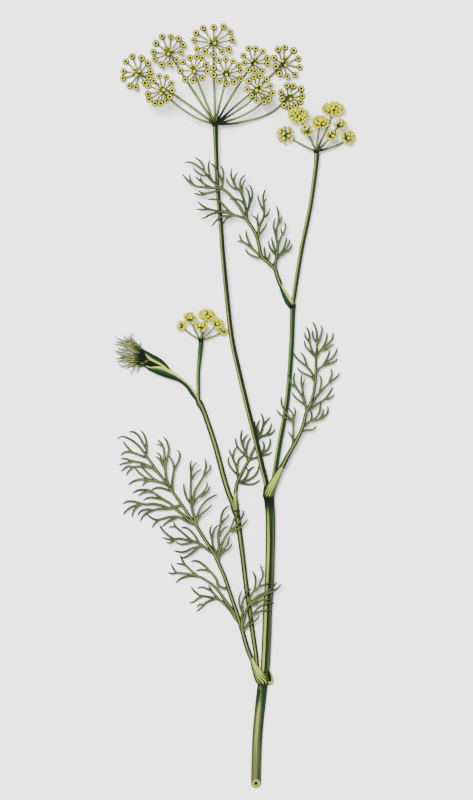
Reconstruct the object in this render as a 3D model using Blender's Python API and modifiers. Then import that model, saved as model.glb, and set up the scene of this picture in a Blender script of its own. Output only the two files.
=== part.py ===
"""A cut flowering stem of dill, lying on a table and seen from above.

The stem runs along +Y, from its slanted, hollow cut end to the large umbel, and +Z is up from the table.
Routes are traced over the photograph: their first two numbers are a pixel (right, down) and the third is
the height over the table in millimetres. All other sizes are real millimetres.
"""
import cmath
import math
import random

import bmesh
import bpy
from mathutils import Vector
from mathutils.geometry import intersect_line_line_2d

MM = 0.001
PIXEL = 0.5                      # millimetres of plant that one pixel of the photograph covers
CENTRE = (235.2, 406.5)          # the pixel over the origin, which is the middle of the plant's outline

CUT_CENTRE = (256.0, 783.7, 2.45)
CUT_SLANT = math.radians(45)     # the cut runs across the stem at this slant, facing up
HOLLOW_RADIUS = 1.0
HOLLOW_DEPTH = 14.0
SHEATH_WALL = 0.7

LOBE_ANGLE = math.radians(38)    # a leaf lobe leaves its stalk at about this angle
LOBE_BOW = 0.13                  # how far a lobe bows outwards, as a share of its length
LOBE_RADII = (0.60, 0.30)        # at the middle and at the tip
SHORT_LOBE = 4.5                 # a shorter lobe is straight
LONG_STALK = 6.0                 # a bare stretch of stalk longer than this is bent once
ROOT_LENGTH = 1.3                # how much of its stalk's side a lobe grows from
ROOT_STEP = 1.6
STALK_RADII = (0.80, 0.62)
RACHIS_SIDES = 6
TIP_CLEAR = 0.3                  # lowest height of a lobe's axis over the table

FLOWER_DIAMETER = 3.2
FLOWER_DEPTH = 1.1
PEDICEL_RADIUS = 0.42
BUD_PEDICEL_RADIUS = 0.33

COLOURS = {
    "stem": (0.33, 0.42, 0.13, 0.6),
    "leaf": (0.20, 0.27, 0.08, 0.65),
    "ray": (0.33, 0.36, 0.09, 0.6),
    "flower": (0.80, 0.74, 0.10, 0.6),
    "bud": (0.62, 0.62, 0.10, 0.6),
}

# Stems and stalks: pixel right, pixel down, height, radius. Each starts just clear of the one it grew from.
MAIN_STEM = [
    (256.0, 796.0, 2.45, 2.62), (256.0, 784.0, 2.45, 2.62), (256.4, 763.0, 2.45, 2.60),
    (257.2, 740.0, 2.60, 2.60), (258.5, 722.0, 3.00, 2.60), (260.8, 700.0, 3.60, 2.65),
    (262.0, 689.2, 3.95, 2.95), (262.4, 686.6, 4.05, 2.30), (263.6, 678.0, 4.25, 2.15),
    (265.2, 666.0, 4.50, 2.38), (266.8, 632.0, 5.20, 2.40), (267.5, 610.0, 5.60, 2.40),
    (269.5, 579.0, 6.10, 2.40),
    (270.4, 525.0, 6.90, 2.50), (269.4, 503.0, 7.20, 2.55), (268.8, 494.5, 7.35, 2.70),
    (268.7, 489.5, 7.45, 2.40),
]
MAIN_UMBEL_STALK = [
    (266.6, 486.6, 7.60, 1.35), (265.2, 479.0, 7.80, 1.45), (261.9, 466.5, 8.00, 1.50),
    (257.9, 449.0, 8.30, 1.45), (247.1, 406.0, 8.90, 1.40), (238.2, 368.6, 9.50, 1.40),
    (231.1, 334.6, 10.0, 1.35), (225.7, 284.6, 10.8, 1.30), (222.5, 250.0, 11.3, 1.25),
    (220.8, 224.6, 11.4, 1.20), (217.5, 187.0, 11.8, 1.15), (216.0, 150.0, 12.2, 1.20),
    (215.3, 128.8, 12.4, 1.45),
]
RIGHT_BRANCH = [
    (272.8, 486.8, 7.30, 1.20), (275.2, 470.0, 7.20, 1.35), (279.5, 443.6, 7.00, 1.35),
    (284.8, 415.3, 6.70, 1.32), (288.3, 390.0, 6.40, 1.32), (291.4, 347.0, 5.90, 1.32),
    (292.5, 315.0, 5.50, 1.40), (292.7, 306.0, 5.45, 1.70), (292.8, 302.5, 5.45, 1.40),
]
SECOND_UMBEL_STALK = [
    (293.4, 301.2, 5.50, 1.10), (297.1, 275.7, 5.80, 1.20), (301.4, 250.0, 6.30, 1.20),
    (303.4, 240.0, 6.60, 1.20), (310.4, 205.4, 7.60, 1.20), (315.4, 170.0, 8.60, 1.25),
    (316.6, 155.4, 9.00, 1.40),
]
SIDE_BRANCH = [
    (257.2, 668.0, 3.90, 0.95), (256.2, 657.0, 3.80, 1.00), (254.8, 647.5, 3.80, 1.05),
    (252.0, 629.0, 3.90, 1.10), (249.7, 610.5, 4.00, 1.10), (246.9, 592.0, 4.10, 1.15),
    (244.6, 573.5, 4.20, 1.15), (241.8, 550.0, 4.30, 1.20), (237.6, 519.0, 4.50, 1.35),
    (234.8, 510.0, 4.60, 1.55), (232.6, 503.0, 4.70, 1.30), (228.8, 494.0, 4.80, 1.25),
    (223.4, 476.5, 5.00, 1.25), (215.0, 445.0, 5.40, 1.25), (204.3, 413.0, 5.80, 1.25),
    (199.6, 403.5, 6.00, 1.55), (198.2, 400.5, 6.05, 1.25),
]
THIRD_UMBEL_STALK = [
    (198.6, 398.9, 6.10, 0.90), (198.2, 385.0, 6.40, 1.00), (198.4, 370.5, 6.70, 1.00),
    (200.0, 353.9, 7.20, 1.10), (200.9, 344.2, 7.60, 1.35),
]

# Sheaths: pixel right, pixel down, height, inner radius, and where the wall starts and ends round the
# axis, in degrees from the right-hand side through the top.
LOWER_SHEATH = [
    (262.9, 684.6, 4.10, 2.85, -15, 245), (262.4, 681.0, 4.25, 3.15, 20, 240),
    (260.9, 676.5, 4.55, 3.35, 52, 232), (257.9, 670.0, 4.90, 2.85, 62, 228),
    (254.9, 664.0, 5.30, 1.90, 60, 230), (252.4, 657.0, 5.60, 0.80, 40, 250),
]
RIGHT_SHEATH = [
    (268.9, 498.0, 7.30, 3.00, -50, 165), (269.5, 491.0, 7.55, 3.15, -45, 145),
    (271.5, 483.5, 8.40, 3.00, -40, 132), (274.6, 476.5, 9.60, 2.30, -35, 150),
    (278.6, 469.5, 10.4, 1.50, -45, 200), (282.4, 463.5, 10.8, 0.80, -60, 240),
]
UPPER_SHEATH = [
    (292.7, 310.0, 5.45, 2.30, 15, 265), (291.4, 303.0, 5.75, 2.50, 45, 250),
    (288.4, 296.0, 6.20, 1.90, 60, 240), (284.2, 289.0, 6.80, 1.30, 50, 240),
    (280.0, 281.5, 7.40, 0.70, 20, 260),
]
SIDE_SHEATH = [
    (235.4, 512.0, 4.55, 2.00, -60, 130), (234.6, 504.0, 4.50, 2.05, -60, 108),
    (234.9, 497.0, 4.30, 1.30, -90, 130), (235.8, 491.0, 4.20, 0.70, -100, 200),
]
YOUNG_SHEATH = [
    (180.0, 381.2, 5.80, 1.20, 105, 435), (174.6, 377.0, 5.70, 1.70, 105, 435),
    (169.0, 372.8, 5.60, 2.60, 108, 434), (160.6, 367.2, 5.50, 3.90, 116, 428),
    (151.5, 361.4, 5.50, 4.25, 132, 410), (144.4, 356.8, 5.50, 3.95, 150, 396),
    (139.6, 353.2, 5.50, 3.50, 168, 384),
]

# Leaves: the rachis as pixel right, pixel down, height, radius. Each sprig is the route of its stalk, the
# height of its end, the lowest and highest tip, and the pixels that its lobes reach.
LOWER_LEAF = {
    "rachis": [
        (252.6, 658.6, 5.80, 1.15), (247.4, 647.5, 5.80, 1.15), (241.5, 629.0, 5.80, 1.10),
        (235.6, 610.0, 6.20, 1.00), (230.7, 596.0, 6.50, 0.95), (224.4, 577.0, 6.90, 0.95),
        (218.0, 562.4, 7.20, 0.95), (213.0, 552.0, 7.40, 0.90), (207.2, 543.5, 7.50, 0.85),
        (200.8, 533.3, 7.50, 0.85), (194.4, 523.0, 7.40, 0.80), (188.7, 515.5, 7.20, 0.80),
        (181.0, 504.0, 6.90, 0.75), (172.5, 492.0, 6.40, 0.72), (164.3, 480.7, 5.90, 0.70),
        (155.5, 469.0, 5.20, 0.66), (147.4, 458.0, 4.40, 0.62), (139.3, 447.7, 3.40, 0.58),
        (132.0, 441.0, 2.40, 0.50), (122.5, 436.7, 1.30, 0.36), (117.0, 439.0, 0.70, 0.26),
    ],
    "sprigs": [
        ([(142.3, 450.0), (139.0, 440.0), (135.7, 433.0)], 4.0, 2.5, 5.0,
         [(128.7, 431.5), (146.0, 437.0), (140.4, 430.0)]),
        ([(146.7, 458.0), (137.9, 454.0), (130.5, 451.4)], 2.5, 0.5, 2.5, [(123.2, 441.5), (120.6, 455.0)]),
        ([(155.5, 470.5), (148.0, 464.6), (136.0, 462.0)], 2.6, 0.5, 3.5,
         [(120.6, 458.2), (119.2, 466.0), (121.0, 472.0), (126.5, 475.6)]),
        ([(166.5, 485.0), (154.0, 481.0), (145.2, 478.0)], 3.4, 1.0, 4.0,
         [(140.8, 462.0), (134.4, 468.3), (127.8, 484.8), (141.8, 487.0)]),
        ([(171.6, 493.0), (163.0, 488.5), (156.5, 488.0)], 3.8, 2.0, 3.5, [(150.0, 492.5)]),
        ([(190.6, 518.6), (179.7, 512.3), (168.7, 502.7), (159.0, 498.0)], 3.6, 1.0, 3.5,
         [(132.7, 492.0), (141.0, 501.5)]),
        ([(190.6, 518.6), (176.3, 511.0), (161.3, 505.7), (146.0, 505.0)], 2.2, 0.4, 2.5,
         [(123.2, 503.2), (122.8, 515.0), (131.0, 517.6)]),
        ([(191.0, 519.2), (176.0, 513.0), (161.3, 510.0), (154.0, 511.0)], 2.6, 0.5, 2.5,
         [(137.5, 514.8), (140.0, 521.5)]),
        ([(192.9, 524.0), (186.3, 519.6), (172.3, 517.4), (160.7, 519.3)], 4.4, 1.5, 4.5,
         [(146.0, 513.5), (152.2, 528.5), (161.3, 528.0)]),
        ([(212.9, 553.8), (208.5, 549.3), (196.0, 543.0), (181.0, 538.5), (173.0, 536.0)], 4.0, 1.5, 5.0,
         [(186.4, 522.6), (174.4, 519.5), (167.0, 526.3), (158.4, 524.0), (161.2, 537.8), (165.4, 543.4),
          (175.0, 543.6), (173.4, 551.0), (179.4, 558.2)]),
        ([(232.8, 612.3), (227.2, 601.7), (219.4, 589.5), (214.0, 579.0), (208.0, 571.0)], 4.2, 2.5, 4.5,
         [(191.0, 560.9), (196.0, 570.8), (201.6, 565.5)]),
        ([(233.4, 604.5), (221.0, 593.5), (211.0, 584.0), (202.5, 577.0), (193.0, 572.0)], 3.0, 0.5, 3.5,
         [(180.0, 554.2), (175.0, 563.4), (170.0, 564.0), (167.6, 572.8), (175.4, 583.2)]),
        ([(237.0, 620.7), (230.7, 611.0), (221.7, 599.7), (209.5, 594.5)], 2.4, 0.4, 3.0,
         [(207.6, 584.2), (198.5, 581.5), (190.6, 586.6), (188.6, 603.6), (197.2, 607.4), (195.6, 612.0)]),
        ([(168.6, 487.0), (165.7, 475.0), (163.5, 462.0), (161.0, 452.0)], 5.6, 4.5, 6.5,
         [(164.4, 436.2), (157.6, 438.6), (155.8, 444.0), (154.6, 452.0), (154.0, 459.0)]),
        ([(173.3, 493.5), (173.6, 480.0), (174.9, 469.0)], 6.2, 5.0, 7.0, [(177.6, 450.0), (168.6, 455.0)]),
        ([(195.4, 524.0), (191.9, 510.0), (191.3, 496.0), (192.6, 483.0), (195.4, 474.0)], 7.6, 6.0, 8.5,
         [(189.6, 460.0), (197.0, 461.4), (203.6, 459.8), (211.5, 465.7), (208.0, 480.4),
          (211.4, 486.0), (183.0, 482.4)]),
        ([(197.4, 527.5), (199.0, 516.0), (204.0, 507.0)], 7.2, 6.0, 8.0, [(218.4, 493.6), (213.3, 503.4)]),
        ([(217.7, 561.7), (217.0, 549.0), (212.4, 539.0)], 7.6, 7.0, 8.5, [(211.6, 524.0), (219.0, 524.4)]),
        ([(217.9, 562.0), (218.9, 549.0), (220.0, 535.0), (223.2, 523.8)], 8.2, 7.5, 9.0,
         [(229.8, 505.0), (223.6, 511.0), (230.8, 524.6)]),
        ([(218.3, 563.0), (222.8, 546.4), (229.2, 533.8)], 8.4, 7.8, 9.5,
         [(226.0, 519.0), (239.6, 510.2), (246.5, 511.6), (247.6, 523.4)]),
        ([(242.7, 631.8), (244.0, 614.0), (250.0, 597.0)], 9.2, 9.6, 11.0,
         [(240.6, 587.0), (252.5, 570.2), (260.6, 563.2)]),
        ([(243.4, 633.0), (250.5, 616.0), (261.0, 603.0)], 9.6, 10.0, 12.0,
         [(271.0, 582.2), (277.6, 580.8), (282.6, 583.0), (276.6, 600.0), (271.9, 611.0),
          (260.0, 617.0)]),
    ],
}
SIDE_LEAF = {
    "rachis": [
        (235.2, 494.0, 4.20, 0.95), (237.2, 483.4, 3.90, 0.75), (241.8, 474.0, 3.70, 0.70),
        (246.2, 464.6, 3.60, 0.66), (250.0, 457.6, 3.60, 0.62), (254.0, 449.0, 3.50, 0.56),
        (257.9, 440.6, 3.40, 0.52), (260.2, 434.0, 3.20, 0.45),
    ],
    "sprigs": [
        ([(256.6, 443.5), (260.0, 434.0), (263.4, 427.0)], 3.4, 1.5, 4.0,
         [(261.0, 412.8), (270.5, 416.0), (253.6, 421.4), (259.6, 419.2), (272.0, 423.4), (276.0, 429.2)]),
        ([(248.6, 460.0), (247.0, 452.0), (245.6, 446.0)], 3.6, 3.0, 4.6,
         [(241.8, 429.6), (234.6, 437.6), (248.0, 433.4), (251.0, 437.8)]),
        ([(250.4, 457.0), (257.4, 455.0), (262.4, 451.0)], 3.0, 1.5, 4.0,
         [(262.8, 439.6), (271.0, 437.6), (273.0, 452.4)]),
        ([(237.6, 482.4), (237.0, 472.0), (235.6, 463.0)], 3.6, 2.0, 4.4,
         [(228.8, 448.7), (227.6, 457.2), (237.0, 445.7), (244.0, 455.8)]),
        ([(238.4, 482.0), (246.0, 476.0), (252.0, 473.0)], 2.8, 0.4, 3.4,
         [(247.0, 466.6), (254.4, 465.6), (259.4, 467.0), (261.0, 481.0)]),
    ],
}
RIGHT_LEAF = {
    "rachis": [
        (280.8, 466.6, 10.8, 1.40), (285.6, 459.0, 11.0, 1.15), (291.7, 447.4, 11.0, 0.95),
        (297.9, 436.0, 10.8, 0.85), (302.4, 426.5, 10.5, 0.80), (305.5, 416.8, 10.2, 0.75),
        (307.9, 409.5, 9.90, 0.72), (311.5, 400.0, 9.40, 0.68), (314.0, 389.5, 8.80, 0.66),
        (315.0, 379.0, 8.20, 0.64), (316.2, 368.0, 7.60, 0.62), (316.4, 358.6, 7.00, 0.58),
        (316.9, 348.0, 6.40, 0.52), (316.9, 340.0, 5.80, 0.45),
    ],
    "sprigs": [
        ([(316.9, 346.0), (316.4, 338.0), (317.2, 333.0)], 5.2, 3.5, 6.0,
         [(311.8, 329.8), (312.7, 321.3), (321.8, 325.2)]),
        ([(315.4, 359.7), (311.5, 349.0), (308.0, 341.0)], 6.0, 4.5, 6.5,
         [(305.7, 326.0), (303.0, 331.4), (302.6, 340.5)]),
        ([(317.0, 357.5), (322.4, 349.8), (326.0, 342.8)], 5.0, 2.5, 5.5,
         [(326.6, 332.5), (333.4, 331.4), (335.6, 344.0)]),
        ([(316.4, 375.4), (321.3, 367.4), (327.0, 361.0)], 6.0, 3.0, 6.5,
         [(329.2, 350.4), (337.8, 347.4), (338.6, 359.2)]),
        ([(314.4, 381.8), (308.6, 370.0), (303.6, 362.0)], 8.6, 8.8, 9.8,
         [(294.6, 351.6), (301.2, 351.6), (297.4, 368.4)]),
        ([(309.5, 406.0), (319.0, 393.4), (327.7, 383.6)], 6.8, 4.0, 7.0,
         [(319.4, 374.0), (331.2, 367.6), (340.8, 371.8)]),
        ([(308.9, 410.0), (317.5, 404.0), (325.0, 398.0)], 5.0, 1.5, 4.5, [(333.4, 386.0), (336.0, 393.6)]),
        ([(307.6, 410.8), (304.2, 397.5), (300.4, 386.0)], 9.8, 9.4, 10.6,
         [(301.6, 373.3), (305.8, 378.0), (293.8, 372.0), (287.6, 375.0), (291.3, 392.6)]),
        ([(303.6, 424.0), (311.5, 417.6), (318.5, 411.0)], 4.2, 0.4, 3.6,
         [(310.6, 409.0), (320.2, 400.0), (326.0, 412.6), (329.0, 405.4)]),
        ([(301.4, 429.5), (308.0, 426.0)], 7.6, 4.0, 6.0, [(318.0, 426.4)]),
        ([(292.5, 446.0), (292.9, 434.0), (291.6, 422.0)], 10.8, 10.2, 11.6,
         [(294.6, 406.6), (280.6, 396.0), (275.4, 409.4), (289.0, 406.0), (286.6, 431.3)]),
    ],
}
UPPER_LEAF = {
    "rachis": [
        (281.4, 284.5, 7.20, 1.20), (277.5, 276.0, 7.80, 1.00), (272.9, 267.6, 8.80, 0.90),
        (266.0, 259.0, 10.0, 0.85), (260.0, 250.0, 11.2, 0.80), (256.6, 240.0, 12.4, 0.78),
        (252.6, 230.0, 13.4, 0.76), (246.3, 219.7, 14.3, 0.74), (240.0, 208.5, 15.0, 0.70),
        (232.2, 198.0, 15.6, 0.68), (223.5, 190.5, 15.8, 0.66), (215.4, 185.6, 15.6, 0.62),
        (208.3, 177.7, 14.8, 0.56), (203.2, 170.0, 13.8, 0.45),
    ],
    "sprigs": [
        ([(208.3, 178.7), (203.0, 171.0), (198.4, 167.0)], 13.2, 11.0, 13.5,
         [(183.6, 162.4), (194.0, 156.8), (192.8, 170.2)]),
        ([(211.8, 181.7), (208.6, 176.6), (209.4, 171.0)], 15.4, 14.5, 16.0,
         [(209.2, 159.8), (213.4, 163.0), (221.2, 165.4)]),
        ([(223.5, 190.5), (208.0, 188.6), (196.0, 186.0)], 12.0, 9.0, 12.0,
         [(181.4, 174.6), (188.8, 174.4), (195.4, 176.8), (193.2, 193.6), (199.0, 193.0)]),
        ([(248.0, 222.5), (238.8, 216.3), (224.0, 211.4), (211.0, 209.0)], 14.0, 13.4, 14.8,
         [(208.0, 198.6), (197.0, 201.2), (195.0, 209.4), (201.0, 219.6), (210.8, 227.9), (222.4, 227.2)]),
        ([(249.0, 224.6), (247.5, 212.0), (243.0, 197.0), (238.0, 187.5)], 16.6, 15.8, 17.6,
         [(226.6, 177.2), (231.4, 167.4), (238.0, 172.0), (246.0, 173.0), (249.4, 179.0), (252.0, 188.0),
          (228.8, 199.2)]),
        ([(257.0, 242.5), (259.2, 228.0), (262.0, 212.0)], 12.6, 9.5, 12.5,
         [(251.2, 215.0), (257.7, 211.0), (257.2, 193.8), (265.6, 187.4), (267.4, 198.0), (270.3, 207.4),
          (268.0, 224.0)]),
        ([(266.0, 261.0), (256.0, 253.0), (248.0, 246.0)], 7.4, 4.5, 7.0,
         [(235.8, 240.4), (238.6, 232.9), (246.1, 229.0), (244.0, 249.4)]),
        ([(274.6, 271.6), (276.2, 258.0), (277.6, 240.0)], 9.0, 7.5, 10.0,
         [(276.0, 205.6), (281.8, 214.7), (271.0, 217.4), (287.4, 223.4), (268.0, 240.0)]),
        ([(275.4, 273.0), (280.0, 260.0), (284.6, 250.6)], 7.6, 5.5, 7.5,
         [(287.4, 236.2), (291.0, 238.0), (293.4, 243.6)]),
    ],
}
YOUNG_LEAF = {
    "rachis": [
        (194.0, 397.2, 5.90, 0.95), (191.6, 392.4, 6.00, 1.10), (187.8, 387.6, 6.00, 1.35),
        (180.0, 381.2, 5.80, 1.95), (174.6, 377.0, 5.70, 2.40), (171.0, 374.4, 5.60, 2.30),
        (166.0, 371.0, 5.50, 1.30), (158.0, 365.6, 5.40, 1.15), (150.0, 360.5, 5.40, 1.15),
        (143.0, 356.0, 5.40, 1.05),
    ],
    "sprigs": [
        ([(150.0, 360.5), (143.0, 352.0), (136.0, 344.5)], 7.2, 5.5, 8.5,
         [(115.0, 336.5), (124.0, 335.4), (128.0, 336.2), (134.0, 332.4), (138.6, 336.4), (114.4, 341.0)]),
        ([(148.0, 359.5), (139.0, 354.0), (129.0, 350.6)], 6.4, 4.5, 8.0,
         [(115.0, 345.4), (113.2, 351.0), (118.0, 347.6), (117.6, 355.0)]),
        ([(147.0, 359.0), (138.0, 357.6), (129.0, 357.4)], 4.2, 2.5, 6.0,
         [(114.8, 358.4), (116.4, 362.6), (121.0, 352.8)]),
        ([(150.0, 361.5), (142.0, 362.4), (135.0, 364.6)], 3.2, 1.0, 5.0,
         [(119.0, 366.6), (127.0, 369.2), (130.6, 375.4), (137.4, 373.8), (123.0, 361.4)]),
    ],
}

# Umbels. The rays are routes from the hub; each umbellet is the pixel at its middle, the height there,
# the half-width and half-height of its ring in pixels, and how many open flowers and buds it has.
MAIN_HUB = (215.3, 124.6, 12.6)
MAIN_UMBELLETS = [
    ((136.0, 71.5, 6.4), (13.6, 15.8), 11, 4, [(185.0, 102.0, 8.5), (160.0, 85.5, 3.4)]),
    ((161.0, 91.0, 28.0), (12.0, 13.3), 12, 4, [(198.0, 119.0, 15.0), (178.0, 106.5, 21.0)]),
    ((167.7, 50.8, 9.0), (15.0, 14.2), 11, 5, [(198.0, 98.5, 10.5), (181.0, 72.0, 6.0)]),
    ((193.5, 70.0, 35.0), (13.5, 12.0), 10, 5, [(207.5, 106.0, 18.0), (199.5, 86.5, 26.5)]),
    ((213.3, 40.2, 10.6), (19.5, 14.0), 12, 5, [(214.6, 100.0, 11.0), (213.6, 65.0, 7.5)]),
    ((226.3, 73.0, 32.0), (13.7, 12.0), 11, 3, [(219.5, 106.0, 18.0), (224.0, 88.0, 25.0)]),
    ((254.7, 61.8, 24.0), (12.0, 12.0), 10, 4, [(229.0, 101.0, 14.0), (244.0, 77.0, 17.5)]),
    ((258.9, 89.5, 34.0), (12.4, 13.4), 11, 5, [(232.0, 114.5, 18.0), (249.0, 103.5, 26.5)]),
    ((285.4, 61.5, 7.0), (12.7, 15.0), 10, 4, [(238.0, 104.0, 9.5), (265.5, 80.5, 4.0)]),
    ((291.5, 96.5, 5.6), (10.8, 11.6), 10, 2, [(240.0, 122.5, 8.5), (270.0, 113.0, 2.6)]),
    ((266.5, 99.0, 18.0), (6.0, 6.0), 0, 7, [(236.0, 118.6, 13.5), (254.0, 109.6, 13.0)]),
]
SECOND_HUB = (316.5, 151.6, 9.2)
SECOND_UMBELLETS = [
    ((285.8, 134.9, 5.4), (9.2, 9.2), 0, 16, [(306.0, 146.6, 6.4), (295.0, 140.6, 2.6)]),
    ((299.3, 116.0, 12.0), (9.2, 9.2), 0, 16, [(309.0, 136.0, 9.0), (303.0, 124.0, 8.4)]),
    ((306.7, 130.6, 21.0), (6.4, 6.4), 0, 11, [(312.6, 144.0, 12.5)]),
    ((319.7, 120.5, 13.0), (8.4, 7.0), 0, 13, [(317.8, 137.0, 10.0)]),
    ((334.4, 107.6, 9.0), (10.2, 8.4), 0, 13, [(322.5, 138.0, 8.8), (330.0, 121.0, 6.4)]),
    ((341.6, 122.9, 14.5), (6.6, 5.6), 0, 11, [(329.0, 139.0, 10.4)]),
    ((331.6, 136.6, 21.0), (6.4, 6.2), 0, 11, [(323.5, 145.6, 13.4)]),
    ((348.6, 137.8, 6.6), (7.8, 7.0), 0, 13, [(332.0, 147.0, 7.0), (341.0, 143.2, 4.0)]),
]
THIRD_HUB = (201.0, 340.4, 7.8)
THIRD_UMBELLETS = [
    ((180.5, 325.7, 5.0), (4.4, 4.4), 0, 7, [(190.0, 333.6, 5.0)]),
    ((189.6, 317.8, 9.0), (5.2, 5.2), 0, 8, [(195.0, 331.0, 7.2)]),
    ((207.6, 314.4, 6.6), (6.2, 5.8), 0, 9, [(204.6, 329.0, 5.6)]),
    ((200.4, 325.2, 15.0), (5.2, 5.0), 0, 8, [(201.4, 334.0, 10.2)]),
    ((217.0, 323.4, 10.4), (4.6, 4.6), 0, 7, [(209.6, 334.0, 8.0)]),
    ((223.0, 331.6, 4.8), (4.2, 4.2), 0, 6, [(212.6, 338.2, 5.2)]),
]
UMBELLET_DEPTH = {"main": 3.6, "second": 2.6, "third": 1.8}
BUD_RADIUS = {"main": 0.78, "second": 0.92, "third": 0.86}
RAY_RADIUS = {"main": 0.60, "second": 0.52, "third": 0.50}
HUB_SIZE = {"main": 1.15, "second": 0.95, "third": 0.80}   # where the pedicels of an umbellet meet
KNOT_RADIUS = {"main": 1.7, "second": 1.5, "third": 1.5}   # where the rays of an umbel meet
RAY_GAP = 0.6                    # between the end of a ray and the hub of its umbellet
LEAN = (0.66, 0.30)              # slope of an umbellet on the table, and of the highest one
TALLEST = 36.0


def at(px, py, height):
    """The place in millimetres over a pixel of the photograph, at a height over the table."""
    return Vector(((px - CENTRE[0]) * PIXEL, (CENTRE[1] - py) * PIXEL, height))


def smooth(points, steps):
    """Points along a Catmull-Rom curve, with `steps` stretches between two neighbouring points."""
    sizes = len(points[0])
    line = []
    for i in range(len(points) - 1):
        before = points[max(i - 1, 0)]
        start, end = points[i], points[i + 1]
        after = points[min(i + 2, len(points) - 1)]
        for k in range(steps):
            t = k / steps
            line.append(tuple(
                0.5 * (2 * start[j] + (end[j] - before[j]) * t
                       + (2 * before[j] - 5 * start[j] + 4 * end[j] - after[j]) * t ** 2
                       + (3 * start[j] - before[j] - 3 * end[j] + after[j]) * t ** 3)
                for j in range(sizes)))
    line.append(tuple(points[-1]))
    return line


def material(kind):
    """The Principled material of one kind of surface."""
    name = "dill_" + kind
    if name in bpy.data.materials:
        return bpy.data.materials[name]
    red, green, blue, roughness = COLOURS[kind]
    made = bpy.data.materials.new(name)
    made.use_nodes = True
    shader = made.node_tree.nodes["Principled BSDF"]
    shader.inputs["Base Color"].default_value = (red, green, blue, 1)
    shader.inputs["Roughness"].default_value = roughness
    return made


def link(mesh, name, collection):
    """A new object of a mesh in a collection."""
    made = bpy.data.objects.new(name, mesh)
    collection.objects.link(made)
    return made


def tubes(routes, sides, collection):
    """One solid for each route of (place, radius), with flat capped ends."""
    curves = []
    for route in routes:
        curve = bpy.data.curves.new("tube", "CURVE")
        curve.dimensions = "3D"
        curve.use_fill_caps = True
        curve.bevel_depth = MM
        curve.bevel_resolution = sides // 2 - 2
        spline = curve.splines.new("POLY")
        spline.points.add(len(route) - 1)
        for point, (place, radius) in zip(spline.points, route):
            point.co = (*(place * MM), 1)
            point.radius = radius
        curves.append(link(curve, "tube", collection))
    bpy.context.view_layer.update()
    graph = bpy.context.evaluated_depsgraph_get()
    solids = []
    for source in curves:
        mesh = bpy.data.meshes.new_from_object(source.evaluated_get(graph))
        weld(mesh)
        solids.append(link(mesh, "solid", collection))
    for source in curves:
        bpy.data.objects.remove(source)
    return solids


def weld(mesh):
    """Joins a curve's loose caps to its side and turns every face outwards."""
    form = bmesh.new()
    form.from_mesh(mesh)
    bmesh.ops.remove_doubles(form, verts=form.verts, dist=1e-5)
    bmesh.ops.recalc_face_normals(form, faces=form.faces)
    form.to_mesh(mesh)
    form.free()


def fuse(name, solids, kind):
    """Joins overlapping solids into the one object of a node."""
    body = link(solids[0].data, name, plant)
    rest = bpy.data.collections.new(name + "_rest")
    bpy.context.scene.collection.children.link(rest)
    for solid in solids[1:]:
        rest.objects.link(solid)
    if len(solids) > 1:
        union = body.modifiers.new("union", "BOOLEAN")
        union.operation = "UNION"
        union.operand_type = "COLLECTION"
        union.collection = rest
        union.solver = "MANIFOLD"
        bpy.context.view_layer.update()
        graph = bpy.context.evaluated_depsgraph_get()
        mesh = bpy.data.meshes.new_from_object(body.evaluated_get(graph))
        body.modifiers.clear()
        body.data = mesh
    for solid in solids:
        bpy.data.objects.remove(solid)
    bpy.data.collections.remove(rest)
    body.data.name = name
    body.data.materials.clear()
    body.data.materials.append(material(kind))
    body.data.shade_smooth()
    body.data.set_sharp_from_angle(angle=math.radians(35))
    return body


def stem(name, points, sides=10):
    """A stem or stalk as one tapered tube."""
    route = [(at(x, y, z), r) for x, y, z, r in points]
    return fuse(name, tubes([route], sides, work), "stem")


def main_stem():
    """The main stem, with its slanted hollow cut end and the flat spot that it rests on."""
    route = [(at(x, y, z), r) for x, y, z, r in MAIN_STEM]
    body = tubes([route], 12, work)[0]
    end = at(*CUT_CENTRE)
    cut = Vector((0, -math.cos(CUT_SLANT), math.sin(CUT_SLANT)))
    form = bmesh.new()
    form.from_mesh(body.data)
    for place, facing in ((end, cut), (Vector((0, 0, 0)), Vector((0, 0, -1)))):
        found = bmesh.ops.bisect_plane(
            form, geom=form.verts[:] + form.edges[:] + form.faces[:], dist=1e-7,
            plane_co=place * MM, plane_no=facing, clear_outer=True)
        edges = [e for e in found["geom_cut"] if isinstance(e, bmesh.types.BMEdge)]
        bmesh.ops.contextual_create(form, geom=edges)
    bmesh.ops.recalc_face_normals(form, faces=form.faces)
    form.to_mesh(body.data)
    form.free()
    hollow = tubes([[(end - Vector((0, 10, 0)), HOLLOW_RADIUS),
                     (end + Vector((0, HOLLOW_DEPTH, 0)), HOLLOW_RADIUS)]], 8, cutters)[0]
    hollow.name = "stem_hollow"
    hollow.hide_render = True
    hollow.display_type = "WIRE"
    made = fuse("main_stem", [body], "stem")
    bore = made.modifiers.new("hollow", "BOOLEAN")
    bore.operation = "DIFFERENCE"
    bore.object = hollow
    bore.solver = "EXACT"
    return made


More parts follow.
